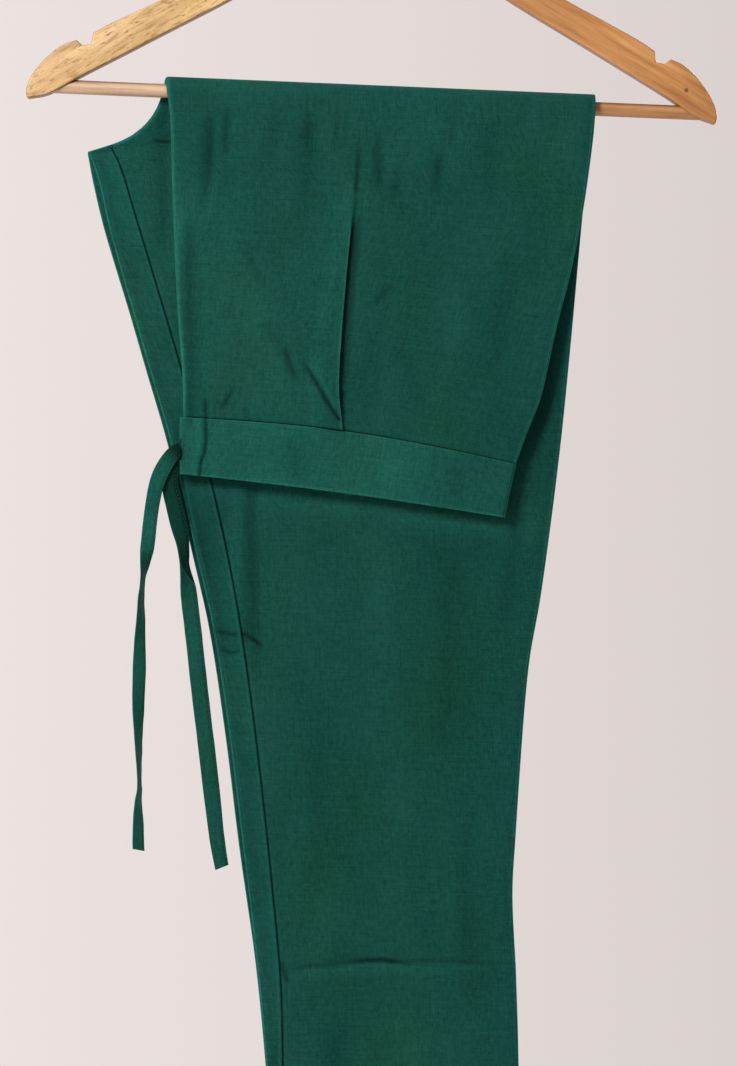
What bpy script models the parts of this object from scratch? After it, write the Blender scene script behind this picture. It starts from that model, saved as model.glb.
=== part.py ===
# Trousers with a drawstring, folded in half and hung over the rod of a wooden hanger.
# Lengths are in millimetres and become metres in the meshes. X runs right, Z up, and the viewer stands at -Y.
# Everything is worked out with the hanger level, and then turned about the hook's inner top, which is the origin.
# The waist end hangs upside down in front of the rod (the drop), and the legs hang behind it.

import math
from collections import namedtuple

import bmesh
import bpy
from mathutils import Matrix, Vector

MM = 0.001
HANGER_TILT = math.radians(2.4)  # the right end hangs lower

# Cloth
WALL = 1.0
GAP = 0.3  # between neighbouring pieces
LAYER = WALL + GAP  # from the middle of one layer to the middle of the next
SEAM_TURN = LAYER / 2  # radius of the middle of the cloth where two layers meet at an edge
FOLD_TURN = 1.5 * LAYER  # radius where the outer pair wraps the inner pair
LAYER_OF = {"front_left": 0, "back_left": 1, "back_right": 2, "front_right": 3}  # from the rod outwards
DROP_CLOSES = 5.0  # how far the drop comes back towards the legs
DROP_CLOSES_OVER = 85.0
BAR_SEGMENTS = 8  # round the rod, half a turn
TURN_SEGMENTS = 4  # round an edge, half a turn

# Hanger
ROD_DIAMETER = 9.0
ROD_BELOW_HOOK = 190.5
ROD_HALF_LENGTH = 211.5
ROD_SIDES = 24
ARM_THICKNESS = 12.0
ARM_EDGE_ROUND = 2.4
HOOK_WIRE = 3.6
HOOK_INNER_RADIUS = 19.0
HOOK_STEM_FOOT = -74.0
HOOK_STEM_TOP = -52.0
HOOK_START, HOOK_END = math.radians(-50), math.radians(205)  # round the loop, from the right side over the top
HOOK_STEPS = 24
HOOK_BEND_STEPS = 5  # between the stem and the loop
HOOK_BEND_REACH = 9.0  # of this bend's handles
STEM_BORE_LENGTH = 40.0
STEM_BORE_SIDES = 16
ROD_MIDDLE_OF_CLOTH = ROD_DIAMETER / 2 + GAP + WALL / 2  # radius of the innermost layer round the rod

# Outlines. "down" is measured below the rod's axis, and "x" from the hanger's middle.
Edge = namedtuple("Edge", "down x")
CENTRE_FRONT = [
    Edge(0, -132.0), Edge(18, -129.0), Edge(60, -126.1), Edge(102, -122.9), Edge(144, -119.0),
    Edge(185, -114.4), Edge(210, -113.6),
]
DROP_SIDE = [
    Edge(0, 144.2), Edge(20, 143.4), Edge(65, 139.2), Edge(103, 133.5), Edge(143, 125.2),
    Edge(189, 116.8), Edge(210, 109.5), Edge(231, 102.8),
]
LEG_SIDE = [
    Edge(0, 143.4), Edge(26, 142.3), Edge(64, 139.6), Edge(149, 135.4), Edge(210, 131.9), Edge(261, 127.9),
    Edge(318, 122.4), Edge(356, 117.3), Edge(395, 115.0), Edge(472, 112.9), Edge(510, 112.5),
    Edge(562, 117.0), Edge(619, 121.0), Edge(690, 124.5),
]
LEG_FOLD = [
    Edge(41, -182.4), Edge(60, -178.0), Edge(90, -169.6), Edge(145, -150.5), Edge(183, -137.7),
    Edge(229, -122.3), Edge(297, -103.7), Edge(346, -88.6), Edge(413, -75.4), Edge(489, -63.6),
    Edge(560, -51.4), Edge(626, -42.4), Edge(690, -35.6),
]
INSEAM = [
    Edge(36, -168.0), Edge(50, -160.4), Edge(78, -150.6), Edge(133, -131.4), Edge(183, -114.4),
    Edge(256, -91.9), Edge(326, -74.2), Edge(412, -58.1), Edge(507, -43.6), Edge(574, -34.8),
    Edge(626, -31.3), Edge(690, -27.5),
]
CROTCH_CURVE = [Edge(0, -135.2), Edge(10, -138.6), Edge(19, -143.9), Edge(27, -151.6), Edge(32, -159.5)]
CROTCH_POINT = Edge(36, -168.4)
CROTCH_TIP = Edge(40.6, -182.0)
LEFT_LEG_INSET = [  # the leg in front lies this far in from the edge of the one behind
    Edge(36, 0.0), Edge(41, 1.0), Edge(60, 4.0), Edge(90, 3.6), Edge(149, 2.6), Edge(490, 2.6), Edge(560, 1.0),
    Edge(690, 0.5),
]

# The waistband's two edges, which dip towards the side seams.
Line = namedtuple("Line", "left_down left_x right_down right_x bow")
WAIST_SEAM = Line(209.9, -113.6, 231.0, 102.8, 5.5)
BAND_EDGE = Line(247.0, -112.6, 266.2, 96.9, 1.7)
BAND_ROWS = [0.0, 0.2, 0.42, 0.72, 0.86, 1.0]
BAND_FOLD_SEGMENTS = 6
TIE_SLOT_ROW = 2  # the ties come out between this row and the next
TIE_SLOT_SEGMENTS = (1, 2, 3, 4)  # of the band's fold

# Rows of the drop, as shares of the way from the rod to the waist seam.
DROP_ROWS = [1.0, 0.94, 0.86, 0.76, 0.65, 0.54, 0.44, 0.365, 0.3, 0.24, 0.16, 0.07]
LEG_ROWS = [45, 52, 70, 100, 145, 205, 262, 318, 365, 415, 490, 545, 590, 640, 690]
CREST = [0.0, 0.06, 0.14, 0.24, 0.34, 0.47, 0.60, 0.73, 0.87, 1.0]  # shares of a row where every layer has a point
PLEAT_AFTER = 4  # the pleat lies between this column and the next

# The pressed pleat on each front: where its fold edge runs, how deep it is, and how much of its height stands.
Pleat = namedtuple("Pleat", "down x depth rise")
PLEAT = [
    Pleat(40, -7.0, 0.0, 0.0), Pleat(54, -7.2, 0.0, 0.35), Pleat(68, -8.0, 1.5, 0.8), Pleat(84, -9.4, 3.0, 1.0),
    Pleat(101, -10.8, 4.4, 1.0), Pleat(127, -12.0, 6.5, 1.0), Pleat(155, -13.1, 8.5, 1.0),
    Pleat(188, -13.2, 10.5, 1.0), Pleat(214, -9.6, 12.0, 1.0),
]
PLEAT_PLACE = 0.45  # share of the row where it lies
PLEAT_RAMP = 6.0  # beside it the cloth takes this far to reach its height
PLEAT_LEAST_DEPTH = 2.9  # below this it stands up as a ridge
Rise = namedtuple("Rise", "across height")
PLEAT_RIDGE = [
    Rise(-8.0, 1.2), Rise(-4.6, 2.2), Rise(-2.2, 2.5), Rise(-0.6, 2.2), Rise(0.6, 1.6), Rise(1.7, 1.0),
    Rise(2.9, 0.45), Rise(4.4, 0.1),
]

# Soft folds that every layer follows: a share of the row, how wide and how deep, and the stretch they run over.
SoftFold = namedtuple("SoftFold", "share width depth top foot")
DROP_FOLDS = [
    SoftFold(0.14, 0.07, 1.1, 40, 260), SoftFold(0.60, 0.08, 1.3, 20, 180), SoftFold(0.87, 0.07, 1.0, 60, 240),
]
LEG_FOLDS = [
    SoftFold(0.24, 0.08, 1.2, 250, 420), SoftFold(0.60, 0.09, 1.5, 80, 330), SoftFold(0.87, 0.07, 1.0, 300, 560),
    SoftFold(0.47, 0.10, 1.2, 520, 700),
]

# The two flat ties. "out" is how far the tie lies in front of the rod's axis, and "turn" is how far it is twisted.
Route = namedtuple("Route", "down x out width turn")
TIE_THICKNESS = 1.0
TIE_LEFT = [
    Route(230.2, -113.4, 2.9, 7.6, 0), Route(230.4, -117.0, 2.95, 8.2, 0), Route(234.0, -121.8, 3.1, 8.6, 0),
    Route(242.5, -126.4, 3.2, 8.8, 8), Route(254.5, -129.2, 3.2, 8.8, 10), Route(275.0, -131.8, 3.2, 8.8, 0),
    Route(295.0, -133.3, 3.2, 8.6, -10), Route(316.0, -134.6, 3.2, 8.2, -58), Route(335.0, -134.6, 3.2, 8.4, -30),
    Route(356.0, -134.4, 3.2, 8.6, -6), Route(377.0, -134.0, 3.2, 8.8, 0), Route(397.0, -133.4, 3.2, 8.8, 12),
    Route(415.0, -132.7, 3.2, 8.4, 48), Route(435.0, -131.3, 3.2, 8.0, 66), Route(452.0, -130.8, 3.2, 8.4, 40),
    Route(468.0, -130.4, 3.2, 8.8, 12), Route(491.0, -129.6, 3.2, 8.8, 0),
]
TIE_RIGHT = [
    Route(230.8, -113.4, 1.6, 7.6, 0), Route(231.6, -116.2, 1.6, 8.2, 0), Route(240.0, -119.8, 1.5, 8.8, 0),
    Route(252.0, -118.9, 1.4, 9.6, 0), Route(264.5, -116.6, 1.6, 10.2, 6), Route(281.0, -112.4, 2.0, 9.4, 24),
    Route(300.0, -108.6, 2.0, 8.8, 40), Route(321.0, -104.7, 2.0, 10.0, 14), Route(341.0, -101.6, 2.0, 10.4, 0),
    Route(367.0, -97.5, 2.0, 10.6, 0), Route(400.0, -92.5, 2.0, 10.6, -6), Route(422.0, -88.6, 2.0, 10.4, 0),
    Route(446.0, -84.6, 2.0, 10.4, 4), Route(472.0, -80.6, 2.0, 10.4, 0), Route(499.5, -75.8, 2.0, 10.4, 0),
]
TIE_STEPS = 2  # rings from one point of the route to the next

# One arm of the hanger, seen from the front: its outline from the middle, along the top, round the tip and back.
Corner = namedtuple("Corner", "x z")
ARM_OUTLINE = [
    Corner(0, -58.0), Corner(14, -60.0), Corner(32, -69.0), Corner(60, -86.0), Corner(90, -104.0),
    Corner(120, -121.2), Corner(145, -133.8), Corner(171, -147.2), Corner(181.0, -153.4), Corner(182.0, -160.6),
    Corner(187.5, -161.6), Corner(191.5, -158.4), Corner(199.0, -161.6), Corner(207.5, -168.4), Corner(215.5, -178.0),
    Corner(220.5, -186.5), Corner(222.8, -195.6), Corner(217.6, -199.6), Corner(208.0, -194.4), Corner(190.0, -182.9),
    Corner(162.0, -166.8), Corner(130.0, -148.6), Corner(96.0, -129.6), Corner(62.0, -109.6), Corner(30.0, -91.6),
    Corner(12.0, -84.0), Corner(0, -82.6),
]

WOOD_LEFT = (0.72, 0.50, 0.24)
WOOD_RIGHT = (0.52, 0.26, 0.09)
WOOD_ROD = (0.74, 0.52, 0.33)
GREEN_CLOTH = (0.011, 0.075, 0.052)
STEEL = (0.62, 0.62, 0.63)


def clear_scene():
    for thing in list(bpy.data.objects):
        bpy.data.objects.remove(thing, do_unlink=True)


def material(name, colour, roughness, metallic=0.0):
    made = bpy.data.materials.new(name)
    made.use_nodes = True
    shader = made.node_tree.nodes["Principled BSDF"]
    shader.inputs["Base Color"].default_value = (*colour, 1.0)
    shader.inputs["Roughness"].default_value = roughness
    shader.inputs["Metallic"].default_value = metallic
    made.diffuse_color = (*colour, 1.0)
    return made


def smooth(table, field, at):
    """A field of a table at this "down", on one smooth curve through its rows."""
    downs = [row.down for row in table]
    values = [getattr(row, field) for row in table]
    if at <= downs[0]:
        return values[0]
    if at >= downs[-1]:
        return values[-1]
    i = max(k for k in range(len(downs) - 1) if downs[k] <= at)
    return hermite(downs, values, i, at)


def hermite(places, values, i, at):
    def slope(k):
        lower, upper = max(k - 1, 0), min(k + 1, len(places) - 1)
        return (values[upper] - values[lower]) / (places[upper] - places[lower])

    span = places[i + 1] - places[i]
    t = (at - places[i]) / span
    return (
        (2 * t**3 - 3 * t**2 + 1) * values[i]
        + (t**3 - 2 * t**2 + t) * span * slope(i)
        + (-2 * t**3 + 3 * t**2) * values[i + 1]
        + (t**3 - t**2) * span * slope(i + 1)
    )


def smoothstep(t):
    t = min(max(t, 0.0), 1.0)
    return t * t * (3 - 2 * t)


def mix(a, b, t):
    return a + (b - a) * t


# Where a point of the cloth lies: x, the way down, and how far out from the innermost layer.

def on_drop(x, down, out):
    share = min(max(down / DROP_CLOSES_OVER, 0.0), 1.0)
    closed = DROP_CLOSES * smoothstep(share)
    slope = DROP_CLOSES * 6 * share * (1 - share) / DROP_CLOSES_OVER
    length = math.hypot(1.0, slope)
    y = -ROD_MIDDLE_OF_CLOTH + closed - out / length
    return Vector((x, y, -ROD_BELOW_HOOK - down - out * slope / length)) * MM


def on_bar(x, angle, out):
    radius = ROD_MIDDLE_OF_CLOTH + out
    y = radius * math.sin(angle)
    return Vector((x, y, -ROD_BELOW_HOOK + radius * math.cos(angle))) * MM


def on_leg(x, down, out):
    return Vector((x, ROD_MIDDLE_OF_CLOTH + out, -ROD_BELOW_HOOK - down)) * MM


def soft_fold(folds, share, down):
    """How far out every layer stands here, between the columns as on a straight line."""
    i = max(k for k in range(len(CREST) - 1) if CREST[k] <= share)
    t = (share - CREST[i]) / (CREST[i + 1] - CREST[i])

    def at(column):
        total = 0.0
        for fold in folds:
            across = math.exp(-(((CREST[column] - fold.share) / fold.width) ** 2))
            middle = (fold.top + fold.foot) / 2
            along = smoothstep(1 - abs(down - middle) / ((fold.foot - fold.top) / 2))
            total += fold.depth * across * along
        return total if 0 < column < len(CREST) - 1 else 0.0

    return mix(at(i), at(i + 1), t)


class Row:
    """One row of the cloth, the same for all four panels: its left edge, its right edge and how it is placed."""

    def __init__(self, kind, left, right, bow=0.0, angle=0.0):
        self.kind, self.left, self.right, self.bow, self.angle = kind, left, right, bow, angle
        self.left_in = self.right_in = None
        self.lead = None

    def point(self, share, out, folds=True):
        """A point at this share of the way across, between the two turns."""
        start, end = self.start(), self.end()
        x = mix(start.x, end.x, share)
        down = mix(start.down, end.down, share) - self.bow * math.sin(math.pi * share)
        return self.place(x, down, out, share if folds else None)

    def start(self):
        if self.lead:
            return self.lead
        return Edge(self.left.down + self.left_in[1] * FOLD_TURN, self.left.x + self.left_in[0] * FOLD_TURN)

    def end(self):
        return Edge(self.right.down + self.right_in[1] * SEAM_TURN, self.right.x + self.right_in[0] * SEAM_TURN)

    def place(self, x, down, out, share=None):
        if self.kind == "bar":
            return on_bar(x, self.angle, out)
        folds = DROP_FOLDS if self.kind == "drop" else LEG_FOLDS
        if share is not None:
            out += soft_fold(folds, share, down)
        return on_drop(x, down, out) if self.kind == "drop" else on_leg(x, down, out)

    def share_of(self, x):
        return (x - self.start().x) / (self.end().x - self.start().x)


def inward(edges, i, side):
    """The way into the cloth from an edge, in its own plane: (x, down)."""
    before, after = edges[max(i - 1, 0)], edges[min(i + 1, len(edges) - 1)]
    dx, ddown = after.x - before.x, after.down - before.down
    length = math.hypot(dx, ddown)
    return (side * ddown / length, -side * dx / length)


def panel_rows():
    """All rows from the waist seam, over the rod, to the hem. The crotch's own rows are marked by their index."""
    rows = []
    for share in DROP_ROWS:
        left_down = WAIST_SEAM.left_down * share
        right_down = WAIST_SEAM.right_down * share
        left = Edge(left_down, smooth(CENTRE_FRONT, "x", left_down))
        right = Edge(right_down, smooth(DROP_SIDE, "x", right_down))
        rows.append(Row("drop", left, right, WAIST_SEAM.bow * share**2))
    for step in range(BAR_SEGMENTS + 1):
        share = step / BAR_SEGMENTS
        left = Edge(0, mix(CENTRE_FRONT[0].x, CROTCH_CURVE[0].x, share))
        right = Edge(0, mix(DROP_SIDE[0].x, LEG_SIDE[0].x, share))
        rows.append(Row("bar", left, right, angle=math.pi * (share - 0.5)))
    for edge in CROTCH_CURVE[1:]:
        rows.append(Row("leg", edge, Edge(edge.down, smooth(LEG_SIDE, "x", edge.down))))
    crotch = len(rows)
    for edge in (CROTCH_POINT, CROTCH_TIP):
        rows.append(Row("leg", edge, Edge(edge.down, smooth(LEG_SIDE, "x", edge.down))))
    for down in LEG_ROWS:
        left = Edge(down, smooth(LEG_FOLD, "x", down))
        rows.append(Row("leg", left, Edge(down, smooth(LEG_SIDE, "x", down))))

    lefts, rights = [row.left for row in rows], [row.right for row in rows]
    for i, row in enumerate(rows):
        if row.kind == "bar":
            row.left_in, row.right_in = (1.0, 0.0), (-1.0, 0.0)
            continue
        if row.kind == "drop":
            row.left_in, row.right_in = inward(lefts, i, -1), inward(rights, i, 1)
            continue
        top = rows.index(next(r for r in rows if r.kind == "leg"))
        reach = lefts[top : crotch + 1] if i <= crotch else lefts[crotch + 1 :]
        row.left_in = inward(reach, i - top if i <= crotch else i - crotch - 1, 1)
        row.right_in = inward(rights[top:], i - top, -1)
        if i >= crotch:
            row.lead = Edge(row.left.down, smooth(INSEAM, "x", row.left.down))
    return rows, crotch


def turn(radius, layer_out, centre_out, segments, sweep):
    """Points of a turn at an edge, from the flat cloth outwards: how far in from the edge, and how far out."""
    side = 1.0 if layer_out > centre_out else -1.0
    points = []
    for step in range(1, segments + 1):
        angle = sweep * step / segments
        points.append((radius * (1 - math.sin(angle)), centre_out + side * radius * math.cos(angle)))
    return points


def seam_sweep(radius, segments):
    """How far each of two walls turns towards the other, so that their corners end a gap apart."""
    sweep = math.pi / 2
    for _ in range(10):
        lean = math.pi / 2 - sweep * (1 - 0.5 / segments)
        sweep = math.acos((GAP / 2 + WALL / 2 * math.sin(lean)) / radius)
    return sweep


class Sheet:
    """An open surface: points by row and column name, and faces between named columns."""

    def __init__(self, name):
        self.name = name
        self.mesh = bmesh.new()
        self.points = {}

    def put(self, row, column, point):
        self.points[row, column] = self.mesh.verts.new(point)

    def face(self, *keys):
        corners = []
        for key in keys:
            vertex = self.points[key]
            if vertex not in corners:
                corners.append(vertex)
        self.mesh.faces.new(corners)

    def strip(self, rows, columns):
        for upper, lower in zip(rows, rows[1:]):
            for a, b in zip(columns, columns[1:]):
                self.face((upper, a), (upper, b), (lower, b), (lower, a))

    def wall(self, paint, parent, collection):
        bmesh.ops.recalc_face_normals(self.mesh, faces=self.mesh.faces)
        data = bpy.data.meshes.new(self.name)
        self.mesh.to_mesh(data)
        self.mesh.free()
        made = bpy.data.objects.new(self.name, data)
        collection.objects.link(made)
        solid = made.modifiers.new("wall", "SOLIDIFY")
        solid.thickness = WALL * MM
        solid.offset = 0.0
        solid.use_even_offset = True
        made.data.materials.append(paint)
        made.parent = parent
        return made


def pleat_section(depth):
    """The folded pleat, from left to right: how far from its fold edge, and how high above the panel."""
    high, middle = 2 * LAYER, LAYER
    if depth < PLEAT_LEAST_DEPTH:
        return PLEAT_RIDGE
    return [
        Rise(-depth - PLEAT_RAMP, 0.5 * high), Rise(-depth + SEAM_TURN, high), Rise(-SEAM_TURN, high),
        Rise(0.0, high - SEAM_TURN), Rise(-SEAM_TURN, middle),
        Rise(-depth + SEAM_TURN, middle), Rise(-depth, SEAM_TURN), Rise(-depth + SEAM_TURN, 0.0),
    ]


def wrap(sheet, i, row, name, points, side, edge=None):
    """Puts a turn's columns beside a row's left (1) or right (-1) edge."""
    corner = edge or (row.left if side > 0 else row.right)
    way = row.left_in if side > 0 else row.right_in
    for k, (back, height) in enumerate(points):
        x, down = corner.x + way[0] * back, corner.down + way[1] * back
        sheet.put(i, f"{name} {k}", row.place(x, down, height))


def names(kind, count):
    return [f"{kind} {k}" for k in range(count)]


def make_panel(name, rows, crotch, paint, parent, collection):
    """One cut panel, from the waist seam over the rod to the hem."""
    layer = LAYER_OF[name]
    out = layer * LAYER
    sheet = Sheet(name)
    for i, row in enumerate(rows):
        for column, share in enumerate(CREST):
            sheet.put(i, f"base {column}", row.point(share, out))
    if name.startswith("front"):
        shape_front(sheet, rows, crotch, out, name.endswith("right"))
    else:
        shape_back(sheet, rows, crotch, out, name.endswith("right"))
    return sheet.wall(paint, parent, collection)


def shape_front(sheet, rows, crotch, out, right):
    """A front: it wraps the backs at the centre front, ends at the inseam on the leg, and has the pleat."""
    base = names("base", len(CREST))
    every = list(range(len(rows)))
    fold_segments = 3
    points = turn(FOLD_TURN, out, FOLD_TURN, fold_segments, seam_sweep(FOLD_TURN, fold_segments))
    for i, row in enumerate(rows):
        back = SEAM_TURN + GAP
        x, down = row.right.x + row.right_in[0] * back, row.right.down + row.right_in[1] * back
        sheet.points[i, base[-1]].co = row.place(x, down, out)
        if i < crotch:
            wrap(sheet, i, row, "fold", points, 1)
        else:
            sheet.points[i, base[0]].co = row.place(row.lead.x + GAP / 2, row.lead.down, out)
    sheet.strip(every[:crotch], [base[0]] + names("fold", fold_segments))

    end_row = put_pleat(sheet, rows, out, 1.0 if right else -1.0)
    before, after = base[PLEAT_AFTER], base[PLEAT_AFTER + 1]
    middle = [before] + names("pleat", len(pleat_section(0.0))) + [after]
    sheet.strip(every, base[: PLEAT_AFTER + 1])
    sheet.strip(every, base[PLEAT_AFTER + 1 :])
    sheet.strip(every[: end_row + 1], middle)
    sheet.face(*[(end_row, column) for column in middle], (end_row + 1, after), (end_row + 1, before))
    sheet.strip(every[end_row + 1 :], [before, after])


def shape_back(sheet, rows, crotch, out, right):
    """A back: it turns round the side edge to meet the front, and on the leg it also turns round the inner edge."""
    base = names("base", len(CREST))
    every = list(range(len(rows)))
    front_out = 3 * LAYER if right else 0.0
    points = turn(SEAM_TURN, out, (out + front_out) / 2, TURN_SEGMENTS, math.pi)
    for i, row in enumerate(rows):
        wrap(sheet, i, row, "side", points, -1)
        inset = 0.0 if right else smooth(LEFT_LEG_INSET, "x", row.left.down)
        edge = Edge(row.left.down, row.left.x + inset)
        if i == crotch:
            sheet.points[i, base[0]].co = row.place(edge.x + GAP / 2, edge.down, out)
        if i > crotch:
            wrap(sheet, i, row, "bend", points, 1, edge)
            inner = (edge.x + row.left_in[0] * SEAM_TURN, edge.down + row.left_in[1] * SEAM_TURN)
            sheet.points[i, base[0]].co = row.place(*inner, out)
            sheet.points[i, base[1]].co = row.place(row.lead.x, row.lead.down, out)
            sheet.put(i, "flap", row.place(row.lead.x - GAP / 2, row.lead.down, front_out))
    sheet.strip(every, base)
    sheet.strip(every, [base[-1]] + names("side", TURN_SEGMENTS))
    sheet.strip(every[crotch + 1 :], [base[0]] + names("bend", TURN_SEGMENTS) + ["flap"])


def put_pleat(sheet, rows, out, side):
    """The pleat's own columns, down the drop as far as it stands. Returns the row where it has gone flat."""
    for i, row in enumerate(rows):
        start, end = row.start(), row.end()
        down = mix(start.down, end.down, PLEAT_PLACE) - row.bow
        x = smooth(PLEAT, "x", down)
        depth = smooth(PLEAT, "depth", down)
        rise = max(smooth(PLEAT, "rise", down), 0.0)
        flat = down <= PLEAT[0].down
        section = pleat_section(depth)
        for k, (across, height) in enumerate(section):
            if flat:
                share = mix(CREST[PLEAT_AFTER], CREST[PLEAT_AFTER + 1], (k + 1) / (len(section) + 1))
                height = 0.0
            else:
                share = row.share_of(x + across)
            sheet.put(i, f"pleat {k}", row.point(share, out + side * height * rise))
        if flat:
            return i
    return len(rows) - 1


def make_waistband(name, band, paint, parent, collection):
    """A band that wraps the centre front or, inside it, the centre back, from one side seam to the other."""
    outer = name == "waistband_front"
    outs = (3 * LAYER, 0.0) if outer else (2 * LAYER, LAYER)
    radius = (outs[0] - outs[1]) / 2
    nested = FOLD_TURN - radius
    sheet = Sheet(name)
    every = list(range(len(band)))
    for limb, out in enumerate(outs):
        columns = names(f"limb {limb}", len(CREST))
        front_out = 3 * LAYER if limb == 0 else 0.0
        side_points = turn(SEAM_TURN, out, (out + front_out) / 2, TURN_SEGMENTS, math.pi)
        for i, row in enumerate(band):
            for column, share in zip(columns, CREST):
                sheet.put(i, column, row.point(share, out))
            if outer:
                back = SEAM_TURN + GAP
                x, down = row.right.x + row.right_in[0] * back, row.right.down + row.right_in[1] * back
                sheet.points[i, columns[-1]].co = row.place(x, down, out)
            else:
                wrap(sheet, i, row, f"side {limb}", side_points, -1)
        sheet.strip(every, columns)
        if not outer:
            sheet.strip(every, [columns[-1]] + names(f"side {limb}", TURN_SEGMENTS))

    segments = BAND_FOLD_SEGMENTS if outer else TURN_SEGMENTS
    points = [(back + nested, height) for back, height in turn(radius, outs[0], FOLD_TURN, segments, math.pi)[:-1]]
    for i, row in enumerate(band):
        wrap(sheet, i, row, "fold", points, 1)
    fold = ["limb 0 0"] + names("fold", len(points)) + ["limb 1 0"]
    for k, pair in enumerate(zip(fold, fold[1:])):
        for upper, lower in zip(every, every[1:]):
            slot = outer and upper == TIE_SLOT_ROW and k in TIE_SLOT_SEGMENTS
            if not slot:
                sheet.strip([upper, lower], pair)
    return sheet.wall(paint, parent, collection)


def band_rows():
    rows = []
    for share in BAND_ROWS:
        left_down = mix(WAIST_SEAM.left_down + GAP, BAND_EDGE.left_down, share)
        right_down = mix(WAIST_SEAM.right_down + GAP, BAND_EDGE.right_down, share)
        left = Edge(left_down, mix(WAIST_SEAM.left_x, BAND_EDGE.left_x, share))
        right = Edge(right_down, mix(WAIST_SEAM.right_x, BAND_EDGE.right_x, share))
        rows.append(Row("drop", left, right, mix(WAIST_SEAM.bow, BAND_EDGE.bow, share)))
    lefts, rights = [row.left for row in rows], [row.right for row in rows]
    for i, row in enumerate(rows):
        row.left_in, row.right_in = inward(lefts, i, 1), inward(rights, i, -1)
    return rows


def tie_rings(route):
    """The tie's middle, from its exit to its free end, with the direction of its width at each ring."""
    count = (len(route) - 1) * TIE_STEPS
    places = list(range(len(route)))

    def value(field, at):
        i = min(int(at), len(route) - 2)
        return hermite(places, [getattr(point, field) for point in route], i, at)

    rings = []
    for step in range(count + 1):
        at = step / TIE_STEPS
        middle = Vector((value("x", at), -value("out", at), -ROD_BELOW_HOOK - value("down", at)))
        rings.append((middle, value("width", at), math.radians(value("turn", at))))
    return rings


def make_tie(name, route, paint, parent, collection):
    rings = tie_rings(route)
    sheet = Sheet(name)
    for i, (middle, width, twist) in enumerate(rings):
        ahead = rings[min(i + 1, len(rings) - 1)][0] - rings[max(i - 1, 0)][0]
        across = Vector((-ahead.z, 0.0, ahead.x)).normalized()
        across = across * math.cos(twist) + Vector((0.0, 1.0, 0.0)) * math.sin(twist)
        for column, side in (("left", -1), ("right", 1)):
            sheet.put(i, column, (middle + across * side * width / 2) * MM)
    sheet.strip(list(range(len(rings))), ["left", "right"])
    return sheet.wall(paint, parent, collection)


def cylinder(name, diameter, length, centre, axis, sides, collection):
    mesh = bmesh.new()
    bmesh.ops.create_cone(
        mesh, cap_ends=True, segments=sides, radius1=diameter / 2 * MM, radius2=diameter / 2 * MM, depth=length * MM
    )
    if axis == "X":
        bmesh.ops.rotate(mesh, cent=(0, 0, 0), matrix=Matrix.Rotation(math.pi / 2, 3, "Y"), verts=mesh.verts)
    data = bpy.data.meshes.new(name)
    mesh.to_mesh(data)
    mesh.free()
    data.shade_smooth()
    data.set_sharp_from_angle(angle=math.radians(40))
    made = bpy.data.objects.new(name, data)
    made.location = Vector(centre) * MM
    collection.objects.link(made)
    return made


def make_arm(name, side, paint, parent, collection, cutters):
    """One wooden arm: its outline, with rounded edges, and bores for the rod's end and the hook's stem."""
    curve = bpy.data.curves.new(name, "CURVE")
    curve.dimensions = "2D"
    curve.fill_mode = "BOTH"
    curve.extrude = ARM_THICKNESS / 2 * MM
    line = curve.splines.new("POLY")
    line.points.add(len(ARM_OUTLINE) - 1)
    for point, corner in zip(line.points, ARM_OUTLINE):
        point.co = (side * (corner.x + GAP / 2) * MM, corner.z * MM, 0.0, 1.0)
    line.use_cyclic_u = True
    flat = bpy.data.objects.new(name + "_outline", curve)
    collection.objects.link(flat)
    data = bpy.data.meshes.new_from_object(flat.evaluated_get(bpy.context.evaluated_depsgraph_get()))
    data.name = name
    mesh = bmesh.new()
    mesh.from_mesh(data)
    bmesh.ops.remove_doubles(mesh, verts=mesh.verts, dist=0.00001)
    bmesh.ops.rotate(mesh, cent=(0, 0, 0), matrix=Matrix.Rotation(math.pi / 2, 3, "X"), verts=mesh.verts)
    bmesh.ops.recalc_face_normals(mesh, faces=mesh.faces)
    mesh.to_mesh(data)
    mesh.free()
    bpy.data.objects.remove(flat, do_unlink=True)

    made = bpy.data.objects.new(name, data)
    collection.objects.link(made)
    made.data.materials.clear()
    made.data.materials.append(paint)
    edge = made.modifiers.new("rounded edges", "BEVEL")
    edge.width = ARM_EDGE_ROUND * MM
    edge.segments = 2
    edge.limit_method = "ANGLE"
    edge.angle_limit = math.radians(60)
    for cutter in cutters:
        bore = made.modifiers.new("bore for " + cutter.name, "BOOLEAN")
        bore.object = cutter
        bore.operation = "DIFFERENCE"
        bore.solver = "EXACT"
    made.parent = parent
    return made


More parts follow.
